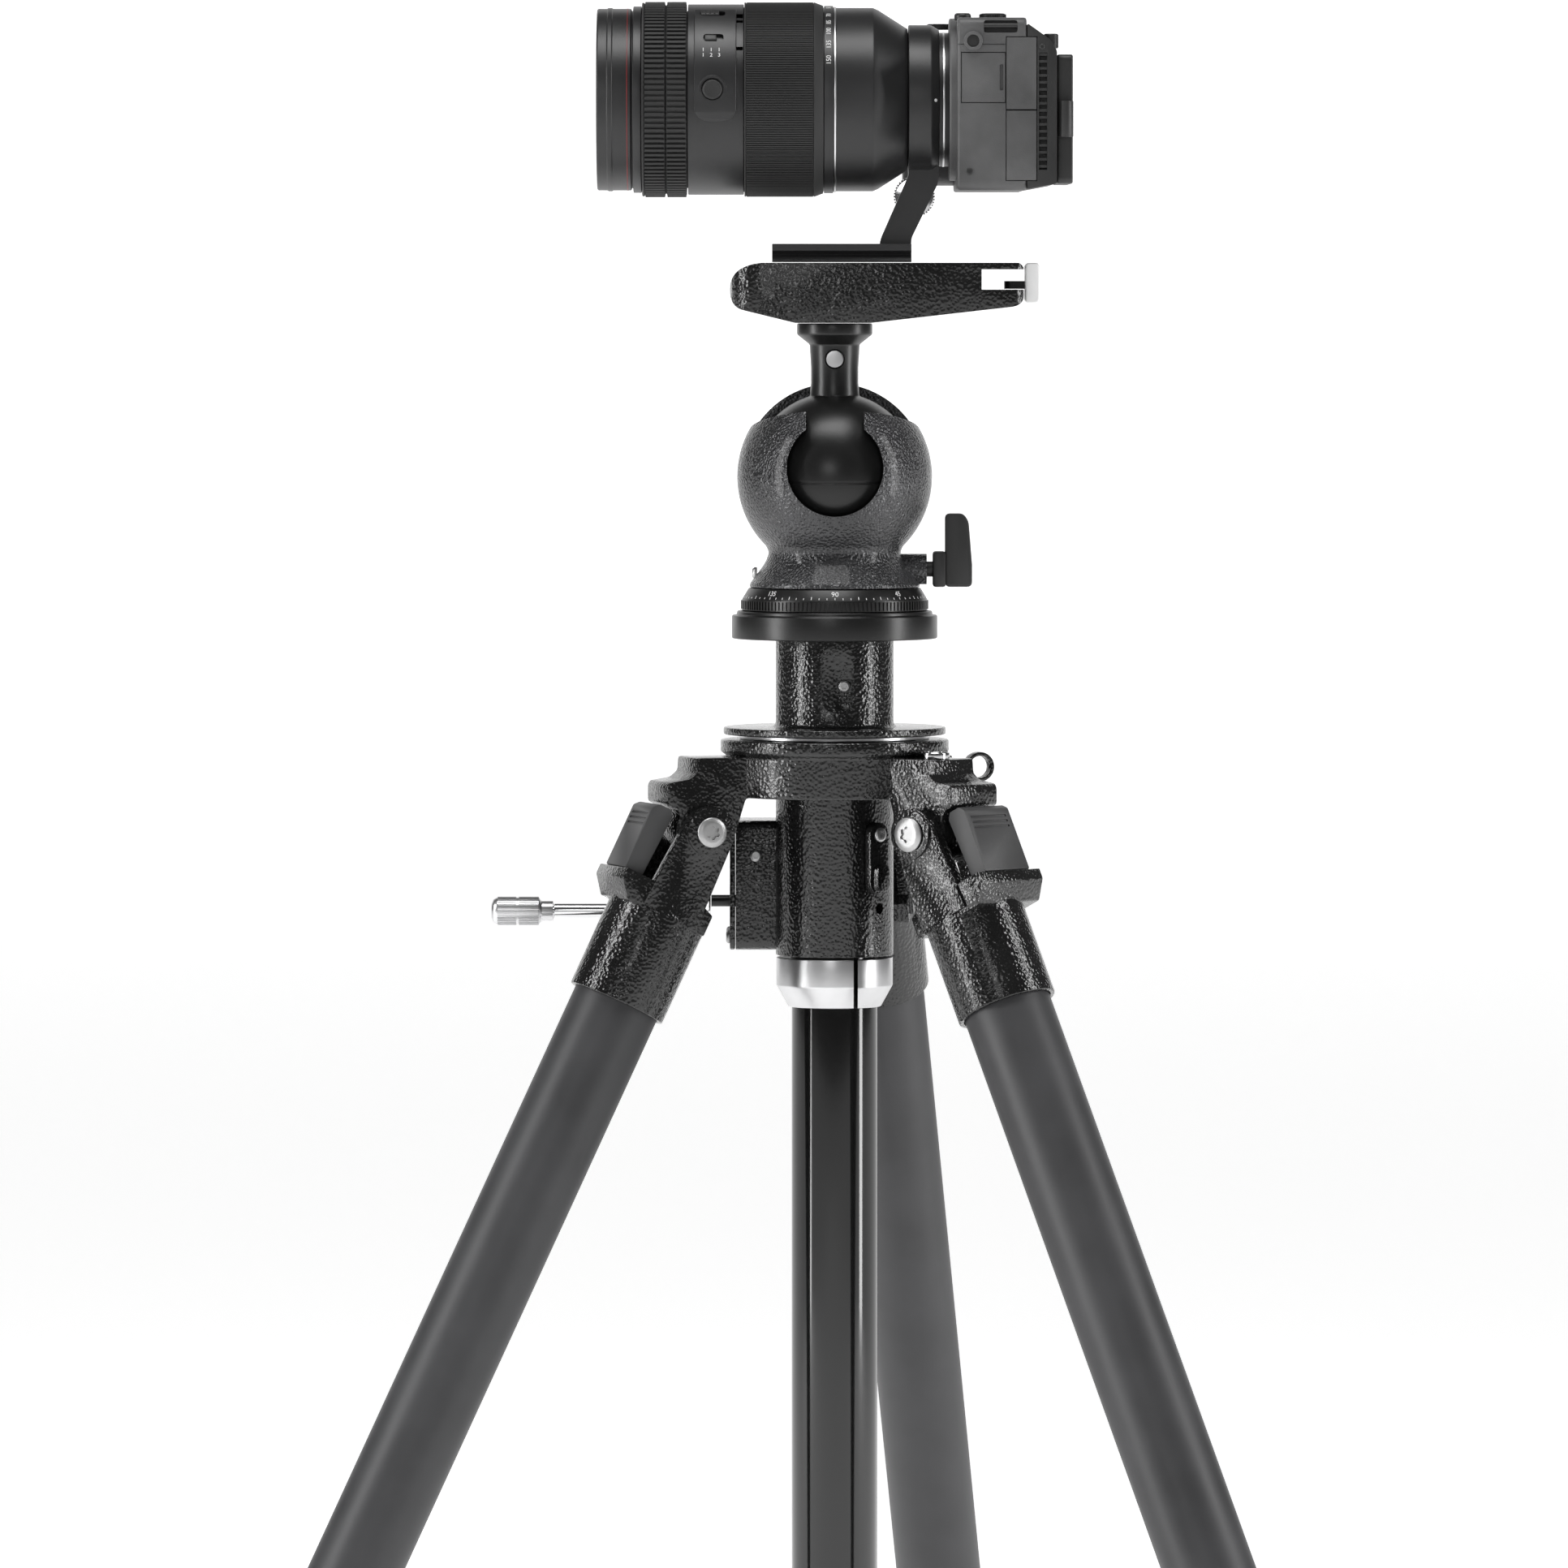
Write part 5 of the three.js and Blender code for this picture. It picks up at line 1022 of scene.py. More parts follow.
boss = rod("boss", (24, 0, BOSS_HEIGHT), (BOSS_END, 0, BOSS_HEIGHT), BOSS_RADIUS)


def sphere(name, centre, radius, segments=80):
    deselect()
    bpy.ops.mesh.primitive_uv_sphere_add(segments=segments, ring_count=segments // 2, radius=radius, location=centre)
    ball = bpy.context.object
    ball.name = name
    bpy.ops.object.transform_apply(location=True, rotation=True, scale=True)
    return ball


cavity = sphere("cavity", (0, 0, BALL_CENTRE), BALL_RADIUS + 1.2)
opening = block("opening", -60, 60, -80, 80, 0, 60)
moved(opening, Matrix.Translation((0, 0, BALL_CENTRE + RIM_HEIGHT))
      @ Matrix.Rotation(-math.atan(RIM_SLOPE), 4, "X"))
opening = kept_inside(opening, block("front", -60, 60, -80, BACK_WALL, BALL_CENTRE - 40, BALL_CENTRE + 80))
notch = rod("notch", (0, -60, NOTCH_CENTRE), (0, 0, NOTCH_CENTRE), NOTCH_RADIUS, 96)
way = block("way", -NOTCH_HALF, NOTCH_HALF, -60, 0, NOTCH_CENTRE, BALL_CENTRE + 50)
knob_bore = rod("knob_bore", (0, 30, BALL_CENTRE), (0, 60, BALL_CENTRE), 5 + GAP)
screw_bore = rod("screw_bore", (30, 0, BOSS_HEIGHT), (60, 0, BOSS_HEIGHT), 3.5 + GAP)
housing = drilled(fused(housing, boss), cavity, opening, notch, way, knob_bore, screw_bore)
housing = soften(housing, 0.8, segments=3)
done(housing, "ball_head", "hammered_grey", ["ball_housing"])
side_screw = moved(torx_screw("housing_screw", 2.7, 2.2), pointing((-1, 0, 0), (-35.4, 0, 116.4)))
done(side_screw, "ball_head", "bolt_steel")
print("housing:", len(housing.data.polygons), "faces")

# %% [markdown]
# The ball and its stem are one turned piece. A fine groove runs round the ball,
# and two round windows near the top of the stem show the bright core inside.

# %% Ball and stem
STEM_RADIUS, STEM_TOP, STEM_FLANGE, STEM_END = 11.4, 220.6, 17.2, 230.2
WINDOW_HEIGHT, WINDOW_RADIUS = 214.0, 4.6
neck_turn = math.degrees(math.acos(STEM_RADIUS / BALL_RADIUS))
turns = sorted([-90 + (neck_turn + 90) * step / 46 for step in range(47)] + [-4.2, -4.0, -2.9, -2.7])
ball_curve = []
for degrees in turns:
    radius = BALL_RADIUS - (0.35 if -4.1 < degrees < -2.8 else 0)
    across = 0 if degrees == -90 else radius * math.cos(math.radians(degrees))
    ball_curve.append((across, BALL_CENTRE + radius * math.sin(math.radians(degrees))))
stem = turned("ball_stem", [
    *ball_curve, (STEM_RADIUS - 0.6, 203), (STEM_RADIUS - 0.6, 210), (STEM_RADIUS, STEM_TOP),
    (STEM_FLANGE, STEM_TOP + 4.6), (STEM_FLANGE, STEM_END), (0, STEM_END)], ease=0.7, sides=96)
windows = [rod("window", (0, side * 6.5, WINDOW_HEIGHT), (0, side * 30, WINDOW_HEIGHT), WINDOW_RADIUS)
           for side in (-1, 1)]
stem = drilled(stem, *windows)
done(stem, "ball", "satin_black", ["ball_stem"])
cores = [moved(turned("core", [(0, 0), (4.3, 0), (4.3, 2.2), (3.9, 2.6), (0, 2.6)], ease=0.3, sides=48),
               pointing((0, side, 0), (0, side * 6.6, WINDOW_HEIGHT))) for side in (-1, 1)]
done(together("stem_core", *cores), "ball", "aluminium")

# %% [markdown]
# Two knobs lock the head. The small one at the side has a flat wing to push with a
# thumb; the large one behind has a lobed rim for the whole hand.

# %% Lock knobs
wing_start = BOSS_END + GAP
wing_hub = soften(block("hub", wing_start + 2.4, wing_start + 8.4, -6.5, 6.5, BOSS_HEIGHT - 8.1, BOSS_HEIGHT + 8.1), 1.2)
wing = outlined("wing", [
    (wing_start + 8, BOSS_HEIGHT - 8.1), (wing_start + 20.4, BOSS_HEIGHT - 8.1), (wing_start + 20.4, BOSS_HEIGHT + 2),
    (wing_start + 18.8, BOSS_HEIGHT + 22), (wing_start + 16.4, BOSS_HEIGHT + 25.4), (wing_start + 8, BOSS_HEIGHT + 25.4)],
    -5, 5, ease=2.4, steps=4)
wing = soften(wing, 1.1)
wing_screw = rod("screw", (BOSS_END - 8, 0, BOSS_HEIGHT), (wing_start + 3, 0, BOSS_HEIGHT), 3.5)
done(together("pan_lock_knob", wing_hub, wing, wing_screw), "pan_knob", "black_plastic", ["pan_lock_knob"])
KNOB_RADIUS, KNOB_FRONT, KNOB_BACK = 25, 47, 63
rim = []
for step in range(96):
    angle = 2 * math.pi * step / 96
    radius = KNOB_RADIUS - 0.6 * (1 - math.cos(12 * angle))
    rim.append((radius * math.cos(angle), BALL_CENTRE + radius * math.sin(angle)))
hand_knob = soften(outlined("ball_lock_knob", rim, KNOB_FRONT, KNOB_BACK, ease=0), 1.4, segments=3)
hand_screw = rod("screw", (0, 40, BALL_CENTRE), (0, KNOB_FRONT + 1, BALL_CENTRE), 5)
done(together("ball_lock_knob", hand_knob, hand_screw), "ball_knob", "rubber", ["ball_lock_knob"])

# %% [markdown]
# The platform is a casting that is round from above and from the side. We draw
# both outlines, extrude each one, and keep only what is inside both.

# %% Platform
PLATFORM_BOTTOM, PLATFORM_TOP, PLATFORM_LEFT, PLATFORM_RIGHT, PLATFORM_HALF = 230.5, 257.8, -47.8, 86, 24
SLOT_LEFT, SLOT_BOTTOM, SLOT_TOP = 66.7, 245.6, 254.8


def bend(start, control, end, steps=8):
    """Corners along a smooth bend."""
    start, control, end = Vector(start), Vector(control), Vector(end)
    shares = [step / steps for step in range(steps + 1)]
    return [tuple(start * (1 - t) ** 2 + control * 2 * t * (1 - t) + end * t ** 2) for t in shares]


side_view = outlined("platform", [
    (PLATFORM_RIGHT - 2, PLATFORM_TOP),
    *bend((PLATFORM_LEFT + 14.5, PLATFORM_TOP), (PLATFORM_LEFT, PLATFORM_TOP - 1.5), (PLATFORM_LEFT, PLATFORM_TOP - 12)),
    *bend((PLATFORM_LEFT, PLATFORM_TOP - 12), (PLATFORM_LEFT, PLATFORM_TOP - 20),
          (PLATFORM_LEFT + 6, PLATFORM_TOP - 21.5))[1:],
    (-18.1, PLATFORM_BOTTOM), (16.3, PLATFORM_BOTTOM),
    *bend((PLATFORM_RIGHT - 5, PLATFORM_TOP - 20), (PLATFORM_RIGHT, PLATFORM_TOP - 19),
          (PLATFORM_RIGHT, PLATFORM_TOP - 15)),
    (PLATFORM_RIGHT, PLATFORM_TOP - 2)], -PLATFORM_HALF, PLATFORM_HALF, ease=1)
top_half = [(PLATFORM_LEFT + 16, -PLATFORM_HALF), (30, -PLATFORM_HALF),
            *bend((PLATFORM_RIGHT - 4, -14), (PLATFORM_RIGHT, -13), (PLATFORM_RIGHT, -9))]
left_end = bend((PLATFORM_LEFT, -8), (PLATFORM_LEFT, -PLATFORM_HALF), (PLATFORM_LEFT + 16, -PLATFORM_HALF))
plan = outlined("plan", [*top_half, *[(x, -y) for x, y in reversed(top_half)],
                         *[(x, -y) for x, y in reversed(left_end)][1:], *left_end[:-1]],
                PLATFORM_BOTTOM - 1, PLATFORM_TOP + 1, along="Z", ease=0.5)
platform = kept_inside(side_view, plan)
platform = drilled(platform, block("slot", SLOT_LEFT, PLATFORM_RIGHT + 5, -40, 40, SLOT_BOTTOM, SLOT_TOP))
platform = soften(platform, 1.0, segments=3)
done(platform, "platform", "hammered_black", ["platform"])
print("platform:", len(platform.data.polygons), "faces")

# %% [markdown]
# The clamping lever is a pale satin tab at the end, on a dark link that turns on a
# pin inside the slot.

# %% Clamping lever
PIVOT_X, PIVOT_Y, PIVOT_RADIUS, LINK_THICK = 81, 9, 3.6, 3.6
LEVER_LEFT, LEVER_RIGHT, LEVER_BOTTOM, LEVER_HALF = 86.6, 93.3, 239.4, 9
tab = outlined("platform_lever", box_corners(LEVER_LEFT, LEVER_RIGHT, LEVER_BOTTOM, PLATFORM_TOP), -LEVER_HALF,
               LEVER_HALF, ease=2.2, steps=5)
done(soften(tab, 0.9, segments=3), "clamp_lever", "lever_white", ["platform_lever"])
link_low = SLOT_BOTTOM + GAP
pivot = rod("pivot", (PIVOT_X, PIVOT_Y, link_low), (PIVOT_X, PIVOT_Y, link_low + LINK_THICK), PIVOT_RADIUS)
link = block("link", PIVOT_X, LEVER_LEFT + 0.6, PIVOT_Y - PIVOT_RADIUS, PIVOT_Y, link_low, link_low + LINK_THICK)
done(soften(fused(pivot, link), 0.3), "clamp_lever", "black_plastic").name = "lever_link"

# %% [markdown]
# ## The lens foot
# The foot is a dovetail plate, a leaning strut and a ring round the lens. The
# plate's two long grooves are part of its outline, seen from the end.

# %% Lens foot
LENS_AXIS = 332
PLATE_LEFT, PLATE_RIGHT, PLATE_BOTTOM, PLATE_TOP, PLATE_HALF, LIP_HALF = -28.5, 34.8, 258.1, 266.4, 19, 16
RING_FRONT, RING_BACK, RING_END, RING_RADIUS, LENS_NECK, STRUT_HALF = 33.4, 43.7, 47.4, 33.9, 30.4, 11
half_section = [(PLATE_HALF, PLATE_BOTTOM), (PLATE_HALF, PLATE_BOTTOM + 0.9), (LIP_HALF, PLATE_BOTTOM + 3.4),
                (PLATE_HALF, PLATE_BOTTOM + 5.2), (PLATE_HALF, PLATE_TOP)]
plate = outlined("lens_foot", [*half_section, *[(-y, z) for y, z in reversed(half_section)]], PLATE_LEFT, PLATE_RIGHT,
                 along="X", ease=0.25)
strut = outlined("strut", [
    (PLATE_RIGHT - 14.5, PLATE_TOP - 1), (PLATE_RIGHT, PLATE_TOP - 1), (PLATE_RIGHT, PLATE_TOP + 2.5),
    (RING_END - 0.4, LENS_AXIS - 38), (RING_END - 0.4, LENS_AXIS - 26), (RING_FRONT + 0.3, LENS_AXIS - 26),
    (RING_FRONT + 0.3, LENS_AXIS - 34.2), (PLATE_RIGHT - 13.8, PLATE_TOP + 2.5)], -STRUT_HALF, STRUT_HALF, ease=2)
ring = turned("ring", [
    (25, RING_FRONT), (RING_RADIUS, RING_FRONT), (RING_RADIUS, RING_BACK), (RING_RADIUS - 2.2, RING_END),
    (25, RING_END)], ease=0.6, along="X", height=LENS_AXIS)
foot = fused(plate, strut, ring)
lens_bore = rod("bore", (20, 0, LENS_AXIS), (60, 0, LENS_AXIS), LENS_NECK + GAP, 112)
thread = rod("thread", (2.8, 0, PLATE_BOTTOM - 1), (2.8, 0, PLATE_TOP + 1), 2.9)
KNOB_X, KNOB_HEIGHT = 36.4, 288
stud_bore = rod("stud_bore", (KNOB_X, 4, KNOB_HEIGHT), (KNOB_X, 20, KNOB_HEIGHT), 3.3)
foot = soften(drilled(foot, lens_bore, thread, stud_bore), 0.5)
done(foot, "platform", "lens_black", ["lens_foot"])
face_knob = turned("foot_knob", [(0, 5), (3, 5), (3, STRUT_HALF + GAP), (8.9, STRUT_HALF + GAP), (8.9, 23.4), (8, 24),
                                 (0, 24)], ease=0.6, sides=64)
knob_rib = block("rib", 8.7, 9.4, -0.4, 0.4, STRUT_HALF + 1, 22.6)
face_knob = together("foot_knob", face_knob, around(knob_rib, 42, "Z"))
moved(face_knob, pointing((0, 1, 0), (KNOB_X, 0, KNOB_HEIGHT)))
done(face_knob, "foot_knob", "chrome", ["foot_knob"])
# %% [markdown]
# ## The lens
# Every barrel is turned about the lens's own axis, so its outline reads as radius
# and place along X. The front barrel carries a filter rim, a fine red line and the
# ring in front of the focus grip.

# %% Front barrel
LENS_FRONT, FOCUS_FRONT, FOCUS_BACK = -108.1, -87.6, -67
TUBE_OUTER, TUBE_INNER, BARREL_RADIUS = 37.6, 35.8, 43.3
FOCUS_RADIUS, ZOOM_RADIUS, REAR_RADIUS = 44.4, 44.2, 41.7


def lens_turned(name, corners, ease=0.3, sides=144):
    return turned(name, corners, ease=ease, sides=sides, along="X", height=LENS_AXIS)


front = lens_turned("lens_front_barrel", [
    (TUBE_INNER, LENS_FRONT + 1), (TUBE_INNER + 2.6, LENS_FRONT), (40.8, LENS_FRONT), (41.3, LENS_FRONT + 0.6),
    (41.3, -103.4), (41.7, -103.1), (41.7, -101.2), (41.3, -100.9), (41.3, -92.6), (40.3, -92.3), (40.3, -91.8),
    (42.4, -91.6), (42.4, FOCUS_FRONT - GAP), (TUBE_OUTER, FOCUS_FRONT - GAP), (TUBE_OUTER, -27.6),
    (TUBE_INNER, -27.6)])
done(front, "front_barrel", "lens_black", ["lens_front_barrel"])
red_line = lens_turned("front_red_line", [(41.1, -94.5), (41.42, -94.4), (41.42, -93.9), (41.1, -93.8)], ease=0.05)
done(red_line, "front_barrel", "mark_red")
glass_curve = [(35.5 * share, -100.6 - 4 * (1 - share * share)) for share in (1, 0.85, 0.7, 0.55, 0.4, 0.2, 0)]
glass = lens_turned("front_glass", [(0, LENS_FRONT + 14), (35.5, LENS_FRONT + 14), *glass_curve], ease=0.1)
done(glass, "front_barrel", "glass", ["front_glass"])

# %% [markdown]
# The focus grip is two bands of short ribs with a groove between them. One rib is
# modelled and repeated round the axis.

# %% Focus ring
focus = lens_turned("focus_ring", [
    (40.5, FOCUS_FRONT), (FOCUS_RADIUS - 0.4, FOCUS_FRONT), (FOCUS_RADIUS - 0.4, FOCUS_FRONT + 1),
    (FOCUS_RADIUS - 1.1, FOCUS_FRONT + 1.3), (FOCUS_RADIUS - 1.1, -77.1), (FOCUS_RADIUS - 1.8, -76.7),
    (FOCUS_RADIUS - 1.1, -76.3), (FOCUS_RADIUS - 1.1, FOCUS_BACK - 0.3), (40.5, FOCUS_BACK - 0.3)], ease=0.15)
bands = []
for start, end in ((FOCUS_FRONT + 1.4, -77.2), (-76.2, FOCUS_BACK - 0.5)):
    rib = soften(block("rib", start, end, -0.72, 0.72, LENS_AXIS + FOCUS_RADIUS - 1.4, LENS_AXIS + FOCUS_RADIUS),
                 0.22, segments=1)
    bands.append(around(rib, 112, "X", (0, 0, LENS_AXIS)))
done(together("focus_ring", focus, *bands), "focus_ring", "rubber", ["focus_ring"])

# %% [markdown]
# The fixed barrel carries a raised control panel on the near side. The panel is a
# slice of a slightly larger ring, kept inside an outline with a round lower end.

# %% Fixed barrel and control panel
PANEL_FRONT, PANEL_BACK, PANEL_RISE, PANEL_RADIUS = -63.7, -44.7, 1.8, BARREL_RADIUS + 1.8
ZOOM_FRONT, ZOOM_BACK, ZOOM_END = -41.1, -9.3, -5
barrel = lens_turned("lens_mid_barrel", [
    (TUBE_OUTER + GAP, FOCUS_FRONT), (40.2, FOCUS_FRONT), (40.2, FOCUS_BACK + GAP), (BARREL_RADIUS, FOCUS_BACK + GAP),
    (BARREL_RADIUS, ZOOM_FRONT - GAP), (41.9, ZOOM_FRONT - GAP), (41.9, ZOOM_END), (TUBE_OUTER + GAP, ZOOM_END)])
panel = lens_turned("panel", [(39, PANEL_FRONT), (PANEL_RADIUS, PANEL_FRONT), (PANEL_RADIUS, PANEL_BACK),
                              (39, PANEL_BACK)], ease=0.5)
shape = outlined("shape", box_corners(PANEL_FRONT - 0.5, PANEL_BACK + 0.5, LENS_AXIS - 10.5, LENS_AXIS + 70), -60,
                 -PANEL_RADIUS * math.cos(math.radians(65)), ease=8.5, steps=8)
panel = soften(kept_inside(panel, shape), 0.5)
HOLD_X, HOLD_HEIGHT, HOLD_RADIUS = -55.5, LENS_AXIS + 3.9, 4.6
SWITCH_X, SWITCH_ANGLE, SWITCH_HALF, SWITCH_WIDE, SWITCH_TRAVEL = -56.6, 59, 4.2, 1.5, 2.4
to_switch = turn_about(-SWITCH_ANGLE, "X", (0, 0, LENS_AXIS))
well = rod("well", (HOLD_X, -60, HOLD_HEIGHT), (HOLD_X, -40.6, HOLD_HEIGHT), HOLD_RADIUS + GAP, 64)
slot = outlined("slot", box_corners(SWITCH_X - SWITCH_HALF - GAP, SWITCH_X + SWITCH_HALF + SWITCH_TRAVEL + GAP,
                                    LENS_AXIS - 2, LENS_AXIS + 2), -60, -PANEL_RADIUS + 2.4, ease=1.6)
moved(slot, to_switch)
MODE_ANGLE = 37.5
to_mode = turn_about(-MODE_ANGLE, "X", (0, 0, LENS_AXIS))
mode_slot = outlined("slot", box_corners(-59.6, -50.4, LENS_AXIS - 2.1, LENS_AXIS + 2.1), -60, -PANEL_RADIUS + 1.6,
                     ease=1.6)
moved(mode_slot, to_mode)
barrel = drilled(fused(barrel, panel), well, slot, mode_slot)
done(barrel, "camera", "lens_black", ["lens_mid_barrel"])
hold_rim = turned("hold_rim", [(HOLD_RADIUS + 0.5, -1), (HOLD_RADIUS + 1.9, -1), (HOLD_RADIUS + 1.9, 0.25),
                               (HOLD_RADIUS + 0.5, 0.25)], ease=0.3, sides=64)
moved(hold_rim, pointing((0, -1, 0), (HOLD_X, -PANEL_RADIUS + 0.35, HOLD_HEIGHT)))
done(hold_rim, "camera", "lens_black")

# %% [markdown]
# The controls sit in their wells: a soft round button, a sliding switch and a
# three-way switch with a short mark at each place.

# %% Controls
hold = turned("focus_hold_button", [(0, 0), (HOLD_RADIUS - 0.1, 0), (HOLD_RADIUS - 0.1, 3.6), (HOLD_RADIUS - 1, 4.3),
                                    (2.4, 4.0), (0, 3.8)], ease=0.5, sides=64)
moved(hold, pointing((0, -1, 0), (HOLD_X, -42.0, HOLD_HEIGHT)))
done(hold, "focus_button", "rubber", ["focus_hold_button"])
slider = soften(block("focus_mode_switch", SWITCH_X - SWITCH_HALF, SWITCH_X + SWITCH_HALF, -PANEL_RADIUS - 0.6,
                      -PANEL_RADIUS + 2.2, LENS_AXIS - SWITCH_WIDE, LENS_AXIS + SWITCH_WIDE), 0.5)
slider_ridges = [block("ridge", SWITCH_X + shift, SWITCH_X + shift + 0.7, -PANEL_RADIUS - 0.95, -PANEL_RADIUS - 0.4,
                       LENS_AXIS - 1.1, LENS_AXIS + 1.1) for shift in (-2.4, -0.35, 1.7)]
slider = together("focus_mode_switch", slider, *slider_ridges)
done(moved(slider, to_switch), "mode_switch", "black_plastic", ["focus_mode_switch"])
mode = soften(block("mode_slider", -59, -53.6, -PANEL_RADIUS - 0.4, -PANEL_RADIUS + 1.5, LENS_AXIS - 1.6,
                    LENS_AXIS + 1.6), 0.5)
done(moved(mode, to_mode), "camera", "black_plastic")


def lens_number(text, size, radius, angle, x, turned_by=0):
    """A number on the barrel. Its top points along the lens, away from the camera."""
    label = lettered(text, size)
    turn = math.radians(angle)
    out = Vector((0, -math.cos(turn), math.sin(turn)))
    place = out * (radius + 0.03) + Vector((x, 0, LENS_AXIS))
    return moved(label, laid((-1, 0, 0), out, place) @ Matrix.Rotation(math.radians(turned_by), 4, "Z"))


panel_marks = []
for label, x in (("1", -59.6), ("2", -56.0), ("3", -52.4)):
    panel_marks.append(lens_number(label, 2.6, PANEL_RADIUS, 25.6, x, turned_by=-90))
    tick = block("tick", x - 0.14, x + 0.14, -PANEL_RADIUS - 0.04, -PANEL_RADIUS + 0.1, LENS_AXIS - 0.9,
                 LENS_AXIS + 0.9)
    panel_marks.append(moved(tick, turn_about(-29.2, "X", (0, 0, LENS_AXIS))))
done(together("panel_marks", *panel_marks), "camera", "mark_white")

# %% [markdown]
# The zoom grip has very fine ribs. Behind it a smooth band carries the focal
# lengths, and it turns with the grip over the rear barrel.

# %% Zoom ring and its scale
zoom = lens_turned("zoom_ring", [
    (42.2, ZOOM_FRONT), (ZOOM_RADIUS, ZOOM_FRONT), (ZOOM_RADIUS, ZOOM_FRONT + 0.6), (ZOOM_RADIUS - 0.5, ZOOM_FRONT + 0.8),
    (ZOOM_RADIUS - 0.5, ZOOM_BACK - 0.4), (ZOOM_RADIUS, ZOOM_BACK - 0.2), (ZOOM_RADIUS, ZOOM_BACK),
    (42.7, ZOOM_END - GAP), (42.2, ZOOM_END - GAP)], ease=0.2)
fine_rib = block("rib", ZOOM_FRONT + 0.9, ZOOM_BACK - 0.5, -0.26, 0.26, LENS_AXIS + ZOOM_RADIUS - 0.7,
                 LENS_AXIS + ZOOM_RADIUS)
zoom = together("zoom_ring", zoom, around(fine_rib, 250, "X", (0, 0, LENS_AXIS)))
done(zoom, "zoom_ring", "rubber", ["zoom_ring"])
band = lens_turned("zoom_scale", [(REAR_RADIUS + 0.3, -4.9), (42.6, -4.9), (42.6, -0.75), (REAR_RADIUS + 0.3, -0.75)],
                   ease=0.15)
done(band, "zoom_ring", "lens_black")
focal = [lens_number(text, 3.1, 42.6, angle, -2.8)
         for text, angle in (("150", 24), ("135", 35), ("100", 45.5), ("85", 54.5), ("70", 63), ("50", 77), ("35", 92))]
done(together("zoom_numbers", *focal), "zoom_ring", "mark_white")

# %% [markdown]
# The rear barrel narrows to the neck that turns in the foot's ring, and ends in
# the mount. A thin bright ring marks where it begins.

# %% Rear barrel and mount
CONE_FRONT, CONE_BACK, CONE_RADIUS, MOUNT_END = 17.4, 33.1, 32.1, 53.3
rear = lens_turned("lens_rear_barrel", [
    (REAR_RADIUS - 2.4, -4.6), (REAR_RADIUS, -4.6), (REAR_RADIUS, -0.6), (42.1, -0.5), (42.1, 0.5), (REAR_RADIUS, 0.6),
    (REAR_RADIUS, CONE_FRONT), (40.6, CONE_FRONT + 2.4), (CONE_RADIUS, CONE_BACK), (LENS_NECK, CONE_BACK),
    (LENS_NECK, MOUNT_END), (28, MOUNT_END), (28, CONE_BACK - 1), (REAR_RADIUS - 2.4, CONE_FRONT - 1)], ease=0.35)
done(rear, "camera", "lens_black", ["lens_rear_barrel"])
bright_lines = [lens_turned("bright_line", [(radius - 0.3, start), (radius, start), (radius, end), (radius - 0.3, end)],
                            ease=0.08) for radius, start, end in ((42.25, -0.4, 0.4), (30.62, 49.0, 49.8))]
done(together("silver_lines", *bright_lines), "camera", "aluminium")
dot = turned("index_dot", [(0, -0.2), (0.75, -0.2), (0.75, 0.06), (0, 0.06)], ease=0.05, sides=24)
dot_out = Vector((2.2, -3.7, 0)).normalized()
moved(dot, pointing(dot_out, (45.6, -32.75, LENS_AXIS - 0.8)))
done(dot, "platform", "mark_white")
# %% [markdown]
# ## The camera
# The body is a rounded box, open at the back and closed by a darker rear frame.
# The port doors lie flush in the near side, so the seams round them are real gaps
# cut into the shell.

# %% Camera shell
CAMERA_FRONT, SHELL_FRONT, JOINT, CAMERA_BACK = 51.9, 55.2, 86.3, 100
NEAR, FAR, CAMERA_BOTTOM, CAMERA_TOP, CAMERA_WALL = -50, 80, 290.4, 368.3, 2.6
GRIP_FRONT, GRIP_NEAR, DOOR_THICK = 31.5, 42, 2.4
DOORS = {
    "port_door_front": ((57, 76.6), (330, 352.4), "door_front"),
    "port_door_upper": ((77.2, 90.8), (326.9, 359.4), "door_upper"),
    "port_door_lower": ((77.2, 90.8), (294.9, 326.3), "door_lower"),
}


def door_recesses():
    return [block("recess", x[0] - GAP, x[1] + GAP, NEAR - 1, NEAR + DOOR_THICK + GAP, z[0] - GAP, z[1] + GAP)
            for x, z, body in DOORS.values()]


shell = outlined("camera_front_shell", box_corners(NEAR, FAR, CAMERA_BOTTOM, CAMERA_TOP), SHELL_FRONT, JOINT,
                 along="X", ease=5, steps=6)
shell = soften(shell, 1.2, segments=3)
grip = outlined("grip", box_corners(GRIP_NEAR, FAR, CAMERA_BOTTOM + 3, CAMERA_TOP), GRIP_FRONT, SHELL_FRONT + 1,
                along="X", ease=8, steps=6)
slope_tool = block("slope", -30, 60, 0, 100, 0, 60)
moved(slope_tool, Matrix.Translation((GRIP_FRONT, 0, CAMERA_TOP - 11)) @ Matrix.Rotation(math.radians(26), 4, "Y"))
slope_tool = kept_inside(slope_tool, block("limit", GRIP_FRONT - 5, SHELL_FRONT + 2, 20, 100, CAMERA_TOP - 11,
                                           CAMERA_TOP + 40))
grip = soften(drilled(grip, slope_tool), 1.2, segments=3)
lip = turned("lip", [(LENS_NECK + GAP, CAMERA_FRONT), (36.4, CAMERA_FRONT), (36.9, CAMERA_FRONT + 0.6),
                     (36.9, SHELL_FRONT + 1), (LENS_NECK + GAP, SHELL_FRONT + 1)], ease=0.3, along="X",
             height=LENS_AXIS)
hollow = block("hollow", SHELL_FRONT + CAMERA_WALL, JOINT + 1, NEAR + DOOR_THICK + 2 * GAP + CAMERA_WALL,
               FAR - CAMERA_WALL, CAMERA_BOTTOM + CAMERA_WALL, CAMERA_TOP - CAMERA_WALL)
